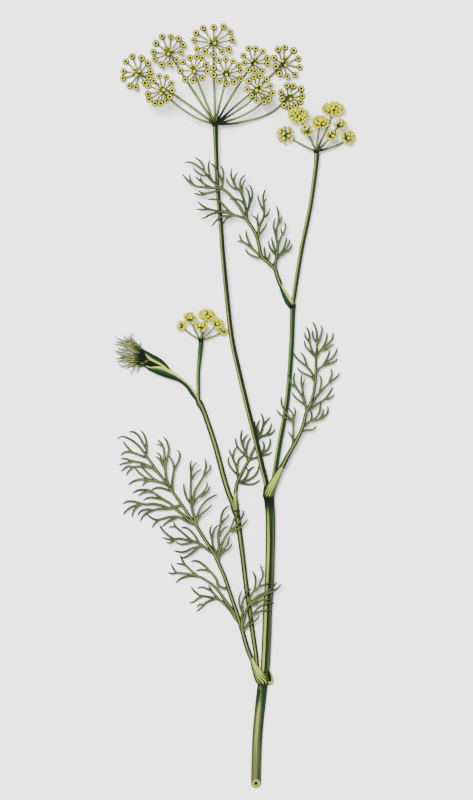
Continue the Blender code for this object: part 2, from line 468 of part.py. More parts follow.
def sheath(stations, columns=8):
    """The curved wall of a leaf sheath, open along one side, SHEATH_WALL thick."""
    places = [at(x, y, z) for x, y, z, *_ in stations]
    form = bmesh.new()
    rows = []
    for i, (*_, radius, start, end) in enumerate(stations):
        along = (places[min(i + 1, len(places) - 1)] - places[max(i - 1, 0)]).normalized()
        right = along.cross(Vector((0, 0, 1))).normalized()
        up = right.cross(along)
        row = []
        for k in range(columns + 1):
            angle = math.radians(start + (end - start) * k / columns)
            out = right * math.cos(angle) + up * math.sin(angle)
            row.append(form.verts.new((places[i] + out * radius) * MM))
        rows.append(row)
    for lower, upper in zip(rows, rows[1:]):
        for k in range(columns):
            form.faces.new((lower[k], upper[k], upper[k + 1], lower[k + 1]))
    mesh = bpy.data.meshes.new("sheath")
    form.to_mesh(mesh)
    form.free()
    wall = link(mesh, "sheath", work)
    skin = wall.modifiers.new("wall", "SOLIDIFY")
    skin.thickness = SHEATH_WALL * MM
    skin.offset = 1 if faces_outwards(mesh, places) else -1
    bpy.context.view_layer.update()
    graph = bpy.context.evaluated_depsgraph_get()
    solid = link(bpy.data.meshes.new_from_object(wall.evaluated_get(graph)), "solid", work)
    bpy.data.objects.remove(wall)
    weld(solid.data)
    return solid


def faces_outwards(mesh, axis):
    """Whether most of a mesh's faces look away from the middle of an axis, which is a line of places."""
    middle = sum(axis, Vector()) / len(axis) * MM
    return sum((face.center - middle).dot(face.normal) * face.area for face in mesh.polygons) > 0


def ring(centre, facing, radius, sides, turn=math.pi / 2):
    """The corners of a cross-section, in metres, clockwise from the first; a quarter turn is on top."""
    right = facing.cross(Vector((0, 0, 1))).normalized()
    up = right.cross(facing).normalized()
    angles = [turn - 2 * math.pi * k / sides for k in range(sides)]
    return [(centre + (right * math.cos(a) + up * math.sin(a)) * radius) * MM for a in angles]


def best_turn(corners, centre, facing):
    """The turn of a ring that twists least from the corners it is grown from."""
    right = facing.cross(Vector((0, 0, 1))).normalized()
    up = right.cross(facing).normalized()
    total = 0
    for k, corner in enumerate(corners):
        offset = corner.co - centre * MM
        total += complex(offset.dot(right), offset.dot(up)) * cmath.exp(2j * math.pi * k / len(corners))
    return cmath.phase(total)


def grow(form, face, corners, places):
    """Extrudes a face to new corner places; gives the new end face and its corners in the same order."""
    made = bmesh.ops.extrude_discrete_faces(form, faces=[face])["faces"][0]
    fresh = set(made.verts)
    following = [next(e.other_vert(v) for e in v.link_edges if e.other_vert(v) in fresh) for v in corners]
    for vert, place in zip(following, places):
        vert.co = place
    return made, following


def point_ahead(form, face, peak):
    """Closes a shape to a point over its end face."""
    centre = bmesh.ops.poke(form, faces=[face])["verts"][0]
    centre.co = peak * MM


def along(line, distance):
    """The place at a distance along a line of places, and the direction there."""
    for start, end in zip(line, line[1:]):
        step = (end - start).length
        if distance <= step or end is line[-1]:
            return start.lerp(end, min(1, distance / step)), (end - start).normalized()
        distance -= step
    return line[-1], (line[-1] - line[-2]).normalized()


def length(line):
    return sum((end - start).length for start, end in zip(line, line[1:]))


def lobe_roots(stalk, tips):
    """Where each lobe leaves its stalk: the distance along it, and the side, -1 on the right."""
    total = length(stalk)
    end, forward = along(stalk, total)
    roots = []
    for tip in tips:
        ahead = (tip - end).xy.dot(forward.xy)
        if ahead > 0:
            foot, foot_way, reach = end, forward, total + ahead
            away = (tip - end).xy - forward.xy * ahead
        else:
            steps = [total * k / 40 for k in range(41)]
            reach = min(steps, key=lambda s: (along(stalk, s)[0] - tip).xy.length)
            foot, foot_way = along(stalk, reach)
            away = (tip - foot).xy
        side = 1 if foot_way.x * (tip - foot).y - foot_way.y * (tip - foot).x > 0 else -1
        back = reach - away.length / math.tan(LOBE_ANGLE)
        roots.append([min(total, max(ROOT_STEP, back)), side, away.length / max(ahead, 0.01)])
    return roots


def spaced(roots, total):
    """Moves roots on one side apart; the lobe that points most straight ahead is left to the end."""
    terminal = min(range(len(roots)), key=lambda i: (roots[i][0] < total - 1, roots[i][2]))
    for side in (-1, 1):
        order = sorted((i for i in range(len(roots)) if i != terminal and roots[i][1] == side),
                       key=lambda i: (-roots[i][0], roots[i][2]))
        limit = total - ROOT_LENGTH - 0.2
        for i in order:
            roots[i][0] = max(0.3, min(roots[i][0], limit))
            limit = roots[i][0] - ROOT_STEP
    return terminal


def uncross(stalk, roots, tips, terminal):
    """Swaps the roots of two lobes on one side that would cross."""
    for i, j in [(i, j) for _ in tips for i in range(len(tips)) for j in range(i)]:
        if terminal in (i, j) or roots[i][1] != roots[j][1]:
            continue
        if intersect_line_line_2d(along(stalk, roots[i][0])[0].xy, tips[i].xy,
                                  along(stalk, roots[j][0])[0].xy, tips[j].xy):
            roots[i][0], roots[j][0] = roots[j][0], roots[i][0]


def seat(rachis, px, py):
    """The place on a rachis next to a pixel."""
    aim = at(px, py, 0)
    best = None
    for (start, _), (end, _) in zip(rachis, rachis[1:]):
        run = (end - start).xy
        share = max(0, min(1, (aim - start).xy.dot(run) / run.length_squared))
        place = start.lerp(end, share)
        if best is None or (place - aim).xy.length < (best - aim).xy.length:
            best = place
    return best


def sprig(rachis, points, height, low, high, tips_px, draw):
    """One sprig of a leaf: a stalk with its lobes grown from its sides and its end."""
    base = seat(rachis, *points[0])
    last = len(points) - 1
    heights = [base.z + (height - base.z) * (i / last) ** 0.8 for i in range(last + 1)]
    route = [tuple(base)] + [tuple(at(x, y, z)) for (x, y), z in list(zip(points, heights))[1:]]
    stalk = [Vector(point) for point in smooth(route, 3)]
    total = length(stalk)
    tips = [at(x, y, max(TIP_CLEAR, draw.uniform(low, high))) for x, y in tips_px]
    roots = lobe_roots(stalk, tips)
    terminal = spaced(roots, total)
    uncross(stalk, roots, tips, terminal)
    stops = sorted({round(root[0], 1) for i, root in enumerate(roots) if i != terminal})
    if not stops or stops[0] > LONG_STALK:
        stops.insert(0, round(total / 3, 1))
    stops = [0.0] + [s for i, s in enumerate(stops) if i == 0 or s - stops[i - 1] > 0.05] + [total]
    form = bmesh.new()
    rings = []
    for stop in stops:
        place, facing = along(stalk, stop)
        radius = STALK_RADII[0] + (STALK_RADII[1] - STALK_RADII[0]) * stop / total
        places = ring(place, facing, radius, 3)
        if not rings:
            corners = [form.verts.new(p) for p in places]
            face = form.faces.new(corners)
        else:
            face, corners = grow(form, face, corners, places)
        rings.append(corners)
    for i, tip in enumerate(tips):
        if i == terminal:
            grow_lobe(form, face, corners, tip, 0.3 * roots[i][1], draw)
            continue
        stop = min(range(len(stops) - 1), key=lambda k: abs(stops[k] - roots[i][0]))
        start, after = rings[stop], rings[stop + 1]
        low_corner = 2 if roots[i][1] > 0 else 1
        edge = form.edges.get((start[low_corner], after[low_corner]))
        if edge is None:
            continue
        share = min(0.8, ROOT_LENGTH * MM / edge.calc_length())
        side_face = next(f for f in edge.link_faces if start[0] in f.verts)
        split = bmesh.utils.edge_split(edge, start[low_corner], share)[1]
        bmesh.utils.face_split(side_face, start[0], split)
        root = next(f for f in start[0].link_faces if split in f.verts and start[low_corner] in f.verts)
        grow_lobe(form, root, list(root.verts), tip, roots[i][1], draw)
    bmesh.ops.holes_fill(form, edges=form.edges, sides=3)
    bmesh.ops.recalc_face_normals(form, faces=form.faces)
    mesh = bpy.data.meshes.new("sprig")
    form.to_mesh(mesh)
    form.free()
    return link(mesh, "sprig", work)


def grow_lobe(form, face, corners, tip, side, draw):
    """Grows a lobe from a face to its tip, bowed outwards on its side; a short one is straight."""
    root = face.calc_center_median() / MM
    chord = tip - root
    bow = chord.length * LOBE_BOW * draw.uniform(0.8, 1.1) * side
    middle = root + chord * 0.5 + Vector((-chord.y, chord.x, 0)).normalized() * bow
    middle.z += 0.05 * chord.length
    if chord.length > SHORT_LOBE:
        facing = chord.normalized()
        places = ring(middle, facing, LOBE_RADII[0], 3, best_turn(corners, root, facing))
        face, corners = grow(form, face, corners, places)
        root = middle
    facing = (tip - root).normalized()
    grow(form, face, corners, ring(tip, facing, LOBE_RADII[1], 3, best_turn(corners, root, facing)))


def leaf(name, data, sheath_stations, seed):
    """A leaf: its sheath, petiole and rachis, with every sprig fused on."""
    draw = random.Random(seed)
    rachis = [(at(x, y, z), r) for x, y, z, r in data["rachis"]]
    solids = tubes([rachis], RACHIS_SIDES, work) + [sheath(sheath_stations)]
    for points, height, low, high, tips in data["sprigs"]:
        solids.append(sprig(rachis, points, height, low, high, tips, draw))
    return fuse(name, solids, "leaf")


def ball(place, radius):
    """A small round solid."""
    form = bmesh.new()
    bmesh.ops.create_uvsphere(form, u_segments=8, v_segments=4, radius=radius * MM)
    bmesh.ops.translate(form, verts=form.verts, vec=place * MM)
    mesh = bpy.data.meshes.new("ball")
    form.to_mesh(mesh)
    form.free()
    return link(mesh, "ball", work)


def lean(umbel_name, hub, middle):
    """How an umbellet leans out from its umbel: its slope, the way out, its axis and where it is rooted."""
    slope = LEAN[0] + (LEAN[1] - LEAN[0]) * middle.z / TALLEST
    away = (middle - hub).xy.normalized()
    axis = Vector((*(away * slope), 1)).normalized()
    return slope, away, axis, middle - axis * UMBELLET_DEPTH[umbel_name]


def umbellet(name, umbel_name, hub, spec, seed):
    """One umbellet, grown from its small hub: flowers or outer buds in a ring, and buds over the middle."""
    (px, py, height), (half_width, half_height), flowers, buds, _ = spec
    outer = flowers or round(buds * 0.6)
    inner = buds if flowers else buds - outer
    draw = random.Random(seed)
    middle = at(px, py, height)
    slope, away, axis, root = lean(umbel_name, at(*hub), middle)
    size = BUD_RADIUS[umbel_name]
    turned = Vector((0, 0, 1)).rotation_difference(axis).to_matrix()
    form = bmesh.new()
    bmesh.ops.create_uvsphere(form, u_segments=outer, v_segments=3, radius=HUB_SIZE[umbel_name] * MM)
    around = {face: math.atan2(*face.calc_center_median().yx) for face in form.faces}
    side_faces = sorted((f for f in form.faces if len(f.verts) == 4), key=around.get)
    top_faces = [f for f in form.faces if len(f.verts) == 3 and f.calc_center_median().z > 0]
    for vert in form.verts:
        if vert.co.z > 0:
            vert.co.xy *= 0.75
        vert.co = turned @ vert.co + root * MM

    def over(spread, lift):
        place = middle + Vector((*spread, -slope * spread.dot(away))) + axis * lift
        place.z = max(size + 0.05, place.z)
        return place

    for k, face in enumerate(side_faces):
        angle = around[face] + draw.uniform(-0.06, 0.06)
        reach = draw.uniform(0.96, 1.04) * (1 if flowers else 0.88)
        spread = Vector((half_width * math.cos(angle), half_height * math.sin(angle))) * PIXEL * reach
        if flowers:
            place = over(spread, 0.5 if k % 2 else -0.5)
            grow_flower(form, face, place, ((place - root).normalized() * 1.2 + axis).normalized())
        else:
            grow_bud(form, face, root, over(spread, -0.8), size)
    crown = inner > 5
    rim = inner - crown
    first = min(around[face] for face in top_faces)
    for k in range(inner):
        angle = first + 2 * math.pi * (k if k < rim else 0.5) / rim
        face = min(top_faces, key=lambda f: abs(math.remainder(around[f] - angle, 2 * math.pi)))
        top_faces.remove(face)
        spread = Vector((math.cos(angle), math.sin(angle))) * size * 1.35 / math.sin(math.pi / rim)
        if k == rim:
            spread = Vector((0, 0))
        lift = 0.5 if flowers else 1.4
        grow_bud(form, face, root, over(spread, lift + 1.4 * (k == rim)), size)
    bmesh.ops.recalc_face_normals(form, faces=form.faces)
    mesh = bpy.data.meshes.new("umbellet")
    form.to_mesh(mesh)
    form.free()
    return fuse(name, [link(mesh, "solid", work)], "flower" if flowers else "bud")


def grow_flower(form, face, place, facing):
    """Grows a pedicel from a face of the hub, and an open flower on it: a shallow eight-sided dish."""
    corners = list(face.verts)
    start = face.calc_center_median() / MM
    neck = place - facing * FLOWER_DEPTH
    way = (neck - start).normalized()
    turn = best_turn(corners, start, way)
    face, corners = grow(form, face, corners, ring(neck, way, PEDICEL_RADIUS, 4, turn))
    turn = best_turn(corners, neck, facing)
    face, corners = grow(form, face, corners, ring(place, facing, FLOWER_DIAMETER / 2, 4, turn))
    eight = ring(place, facing, FLOWER_DIAMETER / 2, 8, turn)
    for k, corner in enumerate(corners):
        edge = form.edges.get((corner, corners[(k + 1) % 4]))
        bmesh.utils.edge_split(edge, corner, 0.5)[1].co = eight[2 * k + 1]
    point_ahead(form, face, place + facing * FLOWER_DEPTH * 0.25)


def grow_bud(form, face, root, place, size):
    """Grows a thin pedicel from a face of the hub, and a round bud on it."""
    corners = list(face.verts)
    start = face.calc_center_median() / MM
    way = (place - start).normalized()
    turn = best_turn(corners, start, way)
    for middle, radius in ((place - way * size, BUD_PEDICEL_RADIUS), (place, size * 1.15)):
        face, corners = grow(form, face, corners, ring(middle, way, radius, len(corners), turn))
    point_ahead(form, face, place + way * size)


def umbel(umbel_name, hub, umbellets, seed):
    """The rays of one umbel, fused at the hub, and its umbellets, each just clear of its ray."""
    rays = []
    centre = at(*hub)
    radius = RAY_RADIUS[umbel_name]
    for number, spec in enumerate(umbellets, 1):
        _, _, axis, root = lean(umbel_name, centre, at(*spec[0]))
        end = root - axis * (HUB_SIZE[umbel_name] + RAY_GAP)
        line = [centre, *(at(*bend) for bend in spec[-1]), end]
        count = len(line) - 1
        rays.append([(place, radius * (1.12 - 0.22 * i / count)) for i, place in enumerate(line)])
        digits = f"{number:02d}" if umbel_name == "main" else str(number)
        umbellet(f"{umbel_name}_umbellet_{digits}", umbel_name, hub, spec, seed + number)
    solids = [ball(centre, KNOT_RADIUS[umbel_name])] + tubes(rays, 4, work)
    fuse(umbel_name + "_umbel_rays", solids, "ray")


for old in list(bpy.data.objects):
    bpy.data.objects.remove(old)
plant = bpy.data.collections.new("dill_stem")
cutters = bpy.data.collections.new("cutters")
work = bpy.data.collections.new("work")
for group in (plant, cutters, work):
    bpy.context.scene.collection.children.link(group)

main_stem()
stem("main_umbel_stalk", MAIN_UMBEL_STALK)
stem("right_branch", RIGHT_BRANCH)
stem("second_umbel_stalk", SECOND_UMBEL_STALK, sides=8)
stem("side_branch", SIDE_BRANCH, sides=8)
stem("third_umbel_stalk", THIRD_UMBEL_STALK, sides=8)
leaf("lower_leaf", LOWER_LEAF, LOWER_SHEATH, 11)
leaf("side_leaf", SIDE_LEAF, SIDE_SHEATH, 12)
leaf("right_leaf", RIGHT_LEAF, RIGHT_SHEATH, 13)
leaf("upper_leaf", UPPER_LEAF, UPPER_SHEATH, 14)
leaf("young_leaf", YOUNG_LEAF, YOUNG_SHEATH, 15)
umbel("main", MAIN_HUB, MAIN_UMBELLETS, 100)
umbel("second", SECOND_HUB, SECOND_UMBELLETS, 200)
umbel("third", THIRD_HUB, THIRD_UMBELLETS, 300)
bpy.data.collections.remove(work)
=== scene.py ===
"""A cut flowering stem of dill on a pale table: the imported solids, dressed as the living plant.

Routes are traced over the photograph. Their first two numbers are a pixel (right, down), and the third is a
height over the table in millimetres.
"""

import math
import random

import bmesh
import bpy
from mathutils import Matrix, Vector


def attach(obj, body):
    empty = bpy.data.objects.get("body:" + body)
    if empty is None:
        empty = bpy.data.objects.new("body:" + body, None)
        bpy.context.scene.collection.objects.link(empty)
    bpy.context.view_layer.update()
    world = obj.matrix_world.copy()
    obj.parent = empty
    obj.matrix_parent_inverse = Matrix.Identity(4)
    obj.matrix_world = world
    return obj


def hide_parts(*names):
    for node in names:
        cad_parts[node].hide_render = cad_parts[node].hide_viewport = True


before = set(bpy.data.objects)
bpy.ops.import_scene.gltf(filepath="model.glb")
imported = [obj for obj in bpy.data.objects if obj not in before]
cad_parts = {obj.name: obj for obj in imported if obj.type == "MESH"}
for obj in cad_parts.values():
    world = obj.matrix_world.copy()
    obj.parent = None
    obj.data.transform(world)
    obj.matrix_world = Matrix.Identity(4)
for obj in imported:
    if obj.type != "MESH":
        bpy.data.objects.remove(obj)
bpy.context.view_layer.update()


# The main stem and its branches: round green stalks with fine ribs that run their whole length. Across each
# stalk the colour is painted light and shade: pale on the side the light comes from, deep green on the other
# side and dark at both flanks, with the main stem's own dark stripe down its middle. They swell at each
# knuckle that a leaf grew from.
PIXEL = 0.0005
CENTRE = (235.2, 406.5)
STEM_ROUTES = {
    "main_stem": """256,796,2.45,2.62 256,784,2.45,2.62 256.4,763,2.45,2.6 257.2,740,2.6,2.6 258.5,722,3,2.6
        260.8,700,3.6,2.65 261.9,690,3.95,2.62 262.4,686,4.05,2.55 263.6,678,4.25,2.15 265.2,666,4.5,2.38
        266.8,632,5.2,2.4 267.5,610,5.6,2.4 269.5,579,6.1,2.4 270.4,525,6.9,2.5 269.4,503,7.2,2.6
        268.6,495.5,7.35,2.95 268.6,489.5,7.45,2.8 268.6,484,7.5,2""",
    "main_umbel_stalk": """267.5,492,7.5,1.2 266.6,486.6,7.6,1.35 265.2,479,7.8,1.45 261.9,466.5,8,1.5
        257.9,449,8.3,1.45 247.1,406,8.9,1.4 238.2,368.6,9.5,1.4 231.1,334.6,10,1.35 225.7,284.6,10.8,1.3
        222.5,250,11.3,1.25 220.8,224.6,11.4,1.2 217.5,187,11.8,1.15 216,150,12.2,1.2 215.3,128.8,12.4,1.45
        215.3,125.2,12.5,1.45""",
    "right_branch": """271.5,491,7.35,1.1 272.8,486.8,7.3,1.2 275.2,470,7.2,1.35 279.5,443.6,7,1.35
        284.8,415.3,6.7,1.32 288.3,390,6.4,1.32 291.4,347,5.9,1.32 292.5,315,5.5,1.4 292.7,306,5.45,1.7
        292.8,302.5,5.45,1.4""",
    "second_umbel_stalk": """292.9,303.5,5.45,1.2 293.4,301.2,5.5,1.1 297.1,275.7,5.8,1.2 301.4,250,6.3,1.2
        303.4,240,6.6,1.2 310.4,205.4,7.6,1.2 315.4,170,8.6,1.25 316.6,155.4,9,1.4 316.5,152,9.15,1.35""",
    "side_branch": """259.5,681,4.1,1.04 257.2,668,3.9,1.1 256.2,657,3.8,1.16 254.8,647.5,3.8,1.22
        252,629,3.9,1.28 249.7,610.5,4,1.28 246.9,592,4.1,1.33 244.6,573.5,4.2,1.33 241.8,550,4.3,1.39
        237.6,519,4.5,1.57 234.8,510,4.6,1.8 232.6,503,4.7,1.51 228.8,494,4.8,1.45 223.4,476.5,5,1.45
        215,445,5.4,1.45 204.3,413,5.8,1.45 199.6,403.5,6,1.8 198.2,400.5,6.05,1.45""",
    "third_umbel_stalk": """198.3,401.5,6.08,1 198.6,398.9,6.1,0.9 198.2,385,6.4,1.05 198.4,370.5,6.7,1.05
        200,353.9,7.2,1.25 200.9,344.2,7.6,1.35 201,341,7.8,1.3""",
}
STEM_RIBS = {"main_stem": 17, "main_umbel_stalk": 11, "right_branch": 11, "second_umbel_stalk": 9,
             "side_branch": 10, "third_umbel_stalk": 8}


def traced(rows):
    """The numbers of a traced list: its rows are parted by spaces, and a row's numbers by commas."""
    return [tuple(map(float, row.split(","))) for row in rows.split()]


def at(px, py, height):
    """The place over a pixel of the photograph, at a height over the table in millimetres."""
    return Vector(((px - CENTRE[0]) * PIXEL, (CENTRE[1] - py) * PIXEL, height / 1000))


def smooth(points, steps):
    """Points along a Catmull-Rom curve, with `steps` stretches between two neighbouring points."""
    line = []
    for i in range(len(points) - 1):
        before, start, end = points[max(i - 1, 0)], points[i], points[i + 1]
        after = points[min(i + 2, len(points) - 1)]
        for k in range(steps):
            t = k / steps
            line.append(tuple(
                0.5 * (2 * b + (c - a) * t + (2 * a - 5 * b + 4 * c - d) * t ** 2
                       + (3 * b - a - 3 * c + d) * t ** 3)
                for a, b, c, d in zip(before, start, end, after)))
    line.append(tuple(points[-1]))
    return line


class Wire:
    """A socket of a node tree. Arithmetic on it adds Math nodes."""

    def __init__(self, tree, socket=None):
        self.tree, self.socket = tree, socket

    def node(self, kind, sockets=None, out=0, **settings):
        """Adds a node: first its settings, then the values or links of its sockets. Gives one output."""
        made = self.tree.nodes.new(kind)
        for name, value in settings.items():
            setattr(made, name, value)
        for name, value in (sockets or {}).items():
            if isinstance(value, Wire):
                self.tree.links.new(value.socket, made.inputs[name])
            else:
                made.inputs[name].default_value = value
        return Wire(self.tree, made.outputs[out]) if made.outputs else made

    def math(self, operation, *values):
        return self.node("ShaderNodeMath", dict(enumerate(values)), operation=operation)

    def __add__(self, other):
        return self.math("ADD", self, other)

    def __mul__(self, other):
        return self.math("MULTIPLY", self, other)

    def __sub__(self, other):
        return self.math("SUBTRACT", self, other)

    def __rsub__(self, other):
        return self.math("SUBTRACT", other, self)

    __radd__, __rmul__ = __add__, __mul__

    def between(self, low, high):
        """0 below low and 1 above high, eased between them; the other way round if low is the larger."""
        return self.node("ShaderNodeMapRange", {0: self, 1: low, 2: high}, interpolation_type="SMOOTHSTEP")

    def mix(self, first, second):
        """The first colour where this is 0, and the second where it is 1."""
        return self.node("ShaderNodeMix", {0: self, 6: first, 7: second}, out=2, data_type="RGBA")

    def ramp(self, *stops):
        """Colours over this number, from (number, colour) pairs."""
        colour = self.node("ShaderNodeValToRGB", {"Fac": self})
        band = colour.socket.node.color_ramp.elements
        for number, _ in stops[2:]:
            band.new(number)
        for element, (number, stop) in zip(band, sorted(stops)):
            element.position, element.color = number, stop
        return colour

    def mark(self, name):
        """A number that the mesh carries."""
        return self.node("ShaderNodeAttribute", out="Fac", attribute_name=name)

    def noise(self, scale, vector=None, detail=2.0):
        """Noise from 0 to 1, over the object or over a vector."""
        place = vector or self.node("ShaderNodeTexCoord", out="Object")
        return self.node("ShaderNodeTexNoise", {"Vector": place, "Scale": scale, "Detail": detail})


# What all the skins share.
BUMP_HEIGHT, BUMP_STRENGTH, SHINE = 0.0001, 0.6, 0.06


def skin(name, paint):
    """A material: `paint` gives its colour, roughness and bump height from a first wire."""
    made = bpy.data.materials.new(name)
    made.use_nodes = True
    made.node_tree.nodes.clear()
    wire = Wire(made.node_tree)
    colour, roughness, height = paint(wire)
    bump = wire.node("ShaderNodeBump", {"Height": height, "Distance": BUMP_HEIGHT, "Strength": BUMP_STRENGTH})
    shader = wire.node("ShaderNodeBsdfPrincipled", {
        "Base Color": colour, "Roughness": roughness, "Normal": bump, "Specular IOR Level": SHINE})
    wire.node("ShaderNodeOutputMaterial", {"Surface": shader})
    return made


def streaks(wire, scale, slow=6.0):
    """Fine streaks that run along a stalk."""
    around = wire.node("ShaderNodeCombineXYZ",
                       {0: wire.mark("side"), 1: wire.mark("top"), 2: wire.mark("along") * slow})
    return wire.noise(scale, around)


PALE, OLIVE, MOSS = (0.29, 0.35, 0.05, 1), (0.072, 0.089, 0.024, 1), (0.038, 0.046, 0.018, 1)
GREEN, EMERALD = (0.022, 0.052, 0.020, 1), (0.003, 0.026, 0.011, 1)
DEEP, EDGE = (0.0012, 0.0060, 0.0026, 1), (0.0085, 0.011, 0.0042, 1)
# Ramps across each stalk, by the side it faces: painted light on the lit side, painted shade on the other
# side and at both flanks, and the stem's own dark stripes.
STRIPES_AND_PAINTED_LIGHT = {
    "main_stem": [
        (0.0, DEEP), (0.06, EDGE), (0.14, OLIVE), (0.22, PALE), (0.36, PALE), (0.43, GREEN), (0.48, DEEP),
        (0.60, DEEP), (0.68, EMERALD), (0.78, MOSS), (0.88, OLIVE), (0.95, EDGE), (1.0, DEEP),
    ],
    "foot": [
        (0.0, EDGE), (0.08, MOSS), (0.20, OLIVE), (0.32, PALE), (0.46, PALE), (0.56, OLIVE), (0.70, MOSS),
        (0.88, EDGE), (1.0, EDGE),
    ],
    "main_umbel_stalk": [
        (0.0, EDGE), (0.10, MOSS), (0.20, OLIVE), (0.34, PALE), (0.42, OLIVE), (0.48, EDGE), (0.56, DEEP),
        (0.80, DEEP), (0.88, EMERALD), (1.0, DEEP),
    ],
    "right_branch": [
        (0.0, EDGE), (0.12, MOSS), (0.26, PALE), (0.38, OLIVE), (0.48, EMERALD), (0.66, DEEP),
        (0.82, EMERALD), (0.92, GREEN), (1.0, DEEP),
    ],
    "second_umbel_stalk": [
        (0.0, EDGE), (0.12, MOSS), (0.24, PALE), (0.42, OLIVE), (0.54, MOSS), (0.64, DEEP), (0.80, EMERALD),
        (0.92, EDGE), (1.0, DEEP),
    ],
    "side_branch": [
        (0.0, DEEP), (0.16, EDGE), (0.26, MOSS), (0.36, OLIVE), (0.46, PALE), (0.58, OLIVE), (0.70, MOSS),
        (0.82, EDGE), (1.0, DEEP),
    ],
    "third_umbel_stalk": [
        (0.0, EDGE), (0.16, MOSS), (0.30, PALE), (0.46, OLIVE), (0.60, GREEN), (0.76, EMERALD), (1.0, DEEP),
    ],
}
EMERALD_TOPS = {"main_stem": (0.82, 0.93, 0.6), "third_umbel_stalk": (0.55, 0.90, 0.8),
                "right_branch": (0.3, 0.9, 0.5)}
FOOT_GREY, KNUCKLE_BLACK = (0.058, 0.062, 0.026, 1), (0.0006, 0.0030, 0.0012, 1)


def stem_paint(name):
    def paint(wire):
        along, rib = wire.mark("along"), wire.mark("rib")
        streak, line = streaks(wire, 7.0), streaks(wire, 15.0, 3.0)
        # across follows the side the surface faces; the ramp over it paints light and shade onto the stalk.
        across = 0.5 + 0.5 * wire.mark("side") + (streak - 0.5) * 0.26 + (wire.noise(60.0) - 0.5) * 0.10
        colour = across.ramp(*STRIPES_AND_PAINTED_LIGHT[name])
        if name == "main_stem":
            foot = across.ramp(*STRIPES_AND_PAINTED_LIGHT["foot"])
            foot = (along.between(0.034, 0.014) * 0.8).mix(foot, FOOT_GREY)
            foot = (along.between(0.036, 0.050) * streak.between(0.38, 0.50)).mix(foot, EMERALD)
            foot = (along.between(0.044, 0.054) * 0.75).mix(foot, DEEP)
            colour = along.between(0.060, 0.052).mix(colour, foot)
        if name in EMERALD_TOPS:
            start, end, share = EMERALD_TOPS[name]
            colour = (wire.mark("reach").between(start, end) * share).mix(colour, EMERALD)
        if name == "main_stem":
            colour = along.between(0.1405, 0.1465).mix(colour, KNUCKLE_BLACK)
            band = along.between(0.0535, 0.0555) * along.between(0.0590, 0.0565)
            colour = (band * 0.8).mix(colour, DEEP)
        colour = (line.between(0.50, 0.60) * 0.7).mix(colour, EDGE)
        # Darker in the grooves between the ribs: partly the stem's own fine stripes, partly painted shade.
        colour = ((1 - rib) * 0.35 * (0.3 + streak)).mix(colour, DEEP)
        return colour, 0.5 + 0.2 * streak, rib * 0.6 + streak * 0.4
    return paint


def new_tree(name, inputs, output):
    """A wire in a new geometry tree, and the tree's named inputs."""
    tree = bpy.data.node_groups.new(name, "GeometryNodeTree")
    for key, kind in inputs.items():
        tree.interface.new_socket(key, in_out="INPUT", socket_type="NodeSocket" + kind)
    tree.interface.new_socket(output, in_out="OUTPUT", socket_type="NodeSocketGeometry")
    wire = Wire(tree)
    wire.node("NodeGroupInput")
    return wire, {socket.name: Wire(tree, socket) for socket in tree.nodes[-1].outputs}


def stalk_tree():
    """Geometry nodes that grow a ribbed stalk along each spline of a curve, as thick as its radius."""
    wire, given = new_tree("ribbed_stalk", {"Path": "Object", "Sides": "Int", "Ribs": "Float",
                                            "Rib Depth": "Float", "Skin": "Material"}, "Stalks")

    def store(shape, name, value):
        return wire.node("GeometryNodeStoreNamedAttribute", {"Geometry": shape, "Name": name, "Value": value},
                         data_type="FLOAT", domain="POINT")

    path = wire.node("GeometryNodeObjectInfo", {"Object": given["Path"]}, out="Geometry")
    path = store(path, "along", wire.node("GeometryNodeSplineParameter", out="Length"))
    path = store(path, "reach", wire.node("GeometryNodeSplineParameter", out="Factor"))
    turn = wire.node("GeometryNodeInputIndex") * (2 * math.pi) * given["Ribs"]
    crest = 0.5 + 0.5 * wire.math("COSINE", wire.math("DIVIDE", turn, given["Sides"]))
    section = wire.node("GeometryNodeCurvePrimitiveCircle", {"Resolution": given["Sides"], "Radius": 1.0})
    thick = 1 - given["Rib Depth"] * (1 - crest)
    corner = wire.node("ShaderNodeVectorMath", {0: wire.node("GeometryNodeInputPosition"), "Scale": thick},
                       operation="SCALE")
    section = store(section, "rib", crest)
    spot = wire.node("GeometryNodeInputPosition")
    section = store(section, "side", wire.node("ShaderNodeSeparateXYZ", {0: spot}, out="X"))
    section = store(section, "top", wire.node("ShaderNodeSeparateXYZ", {0: spot}, out="Y") * -1)
    section = wire.node("GeometryNodeSetPosition", {"Geometry": section, "Position": corner})
    stalk = wire.node("GeometryNodeCurveToMesh", {
        "Curve": path, "Profile Curve": section, "Scale": wire.node("GeometryNodeInputRadius"),
        "Fill Caps": True})
    stalk = wire.node("GeometryNodeSetShadeSmooth", {"Geometry": stalk})
    stalk = wire.node("GeometryNodeSetMaterial", {"Geometry": stalk, "Material": given["Skin"]})
    stalk = wire.node("GeometryNodeRealizeInstances", {"Geometry": stalk})
    wire.node("NodeGroupOutput", {0: stalk})
    return wire.tree


def linked(name, data):
    """A new object, in the scene."""
    made = bpy.data.objects.new(name, data)
    bpy.context.scene.collection.objects.link(made)
    return made


def settle(made):
    """Gives an object the plain mesh that its modifiers make."""
    bpy.context.view_layer.update()
    mesh = bpy.data.meshes.new_from_object(made.evaluated_get(bpy.context.evaluated_depsgraph_get()))
    made.modifiers.clear()
    made.data = mesh


def run_tree(name, tree, values):
    """The plain mesh object that a geometry tree makes from its named inputs."""
    made = linked(name, bpy.data.meshes.new(name))
    growth = made.modifiers.new("growth", "NODES")
    growth.node_group = tree
    identifiers = {item.name: item.identifier for item in tree.interface.items_tree if item.in_out == "INPUT"}
    for key, value in values.items():
        growth[identifiers[key]] = value
    settle(made)
    return made


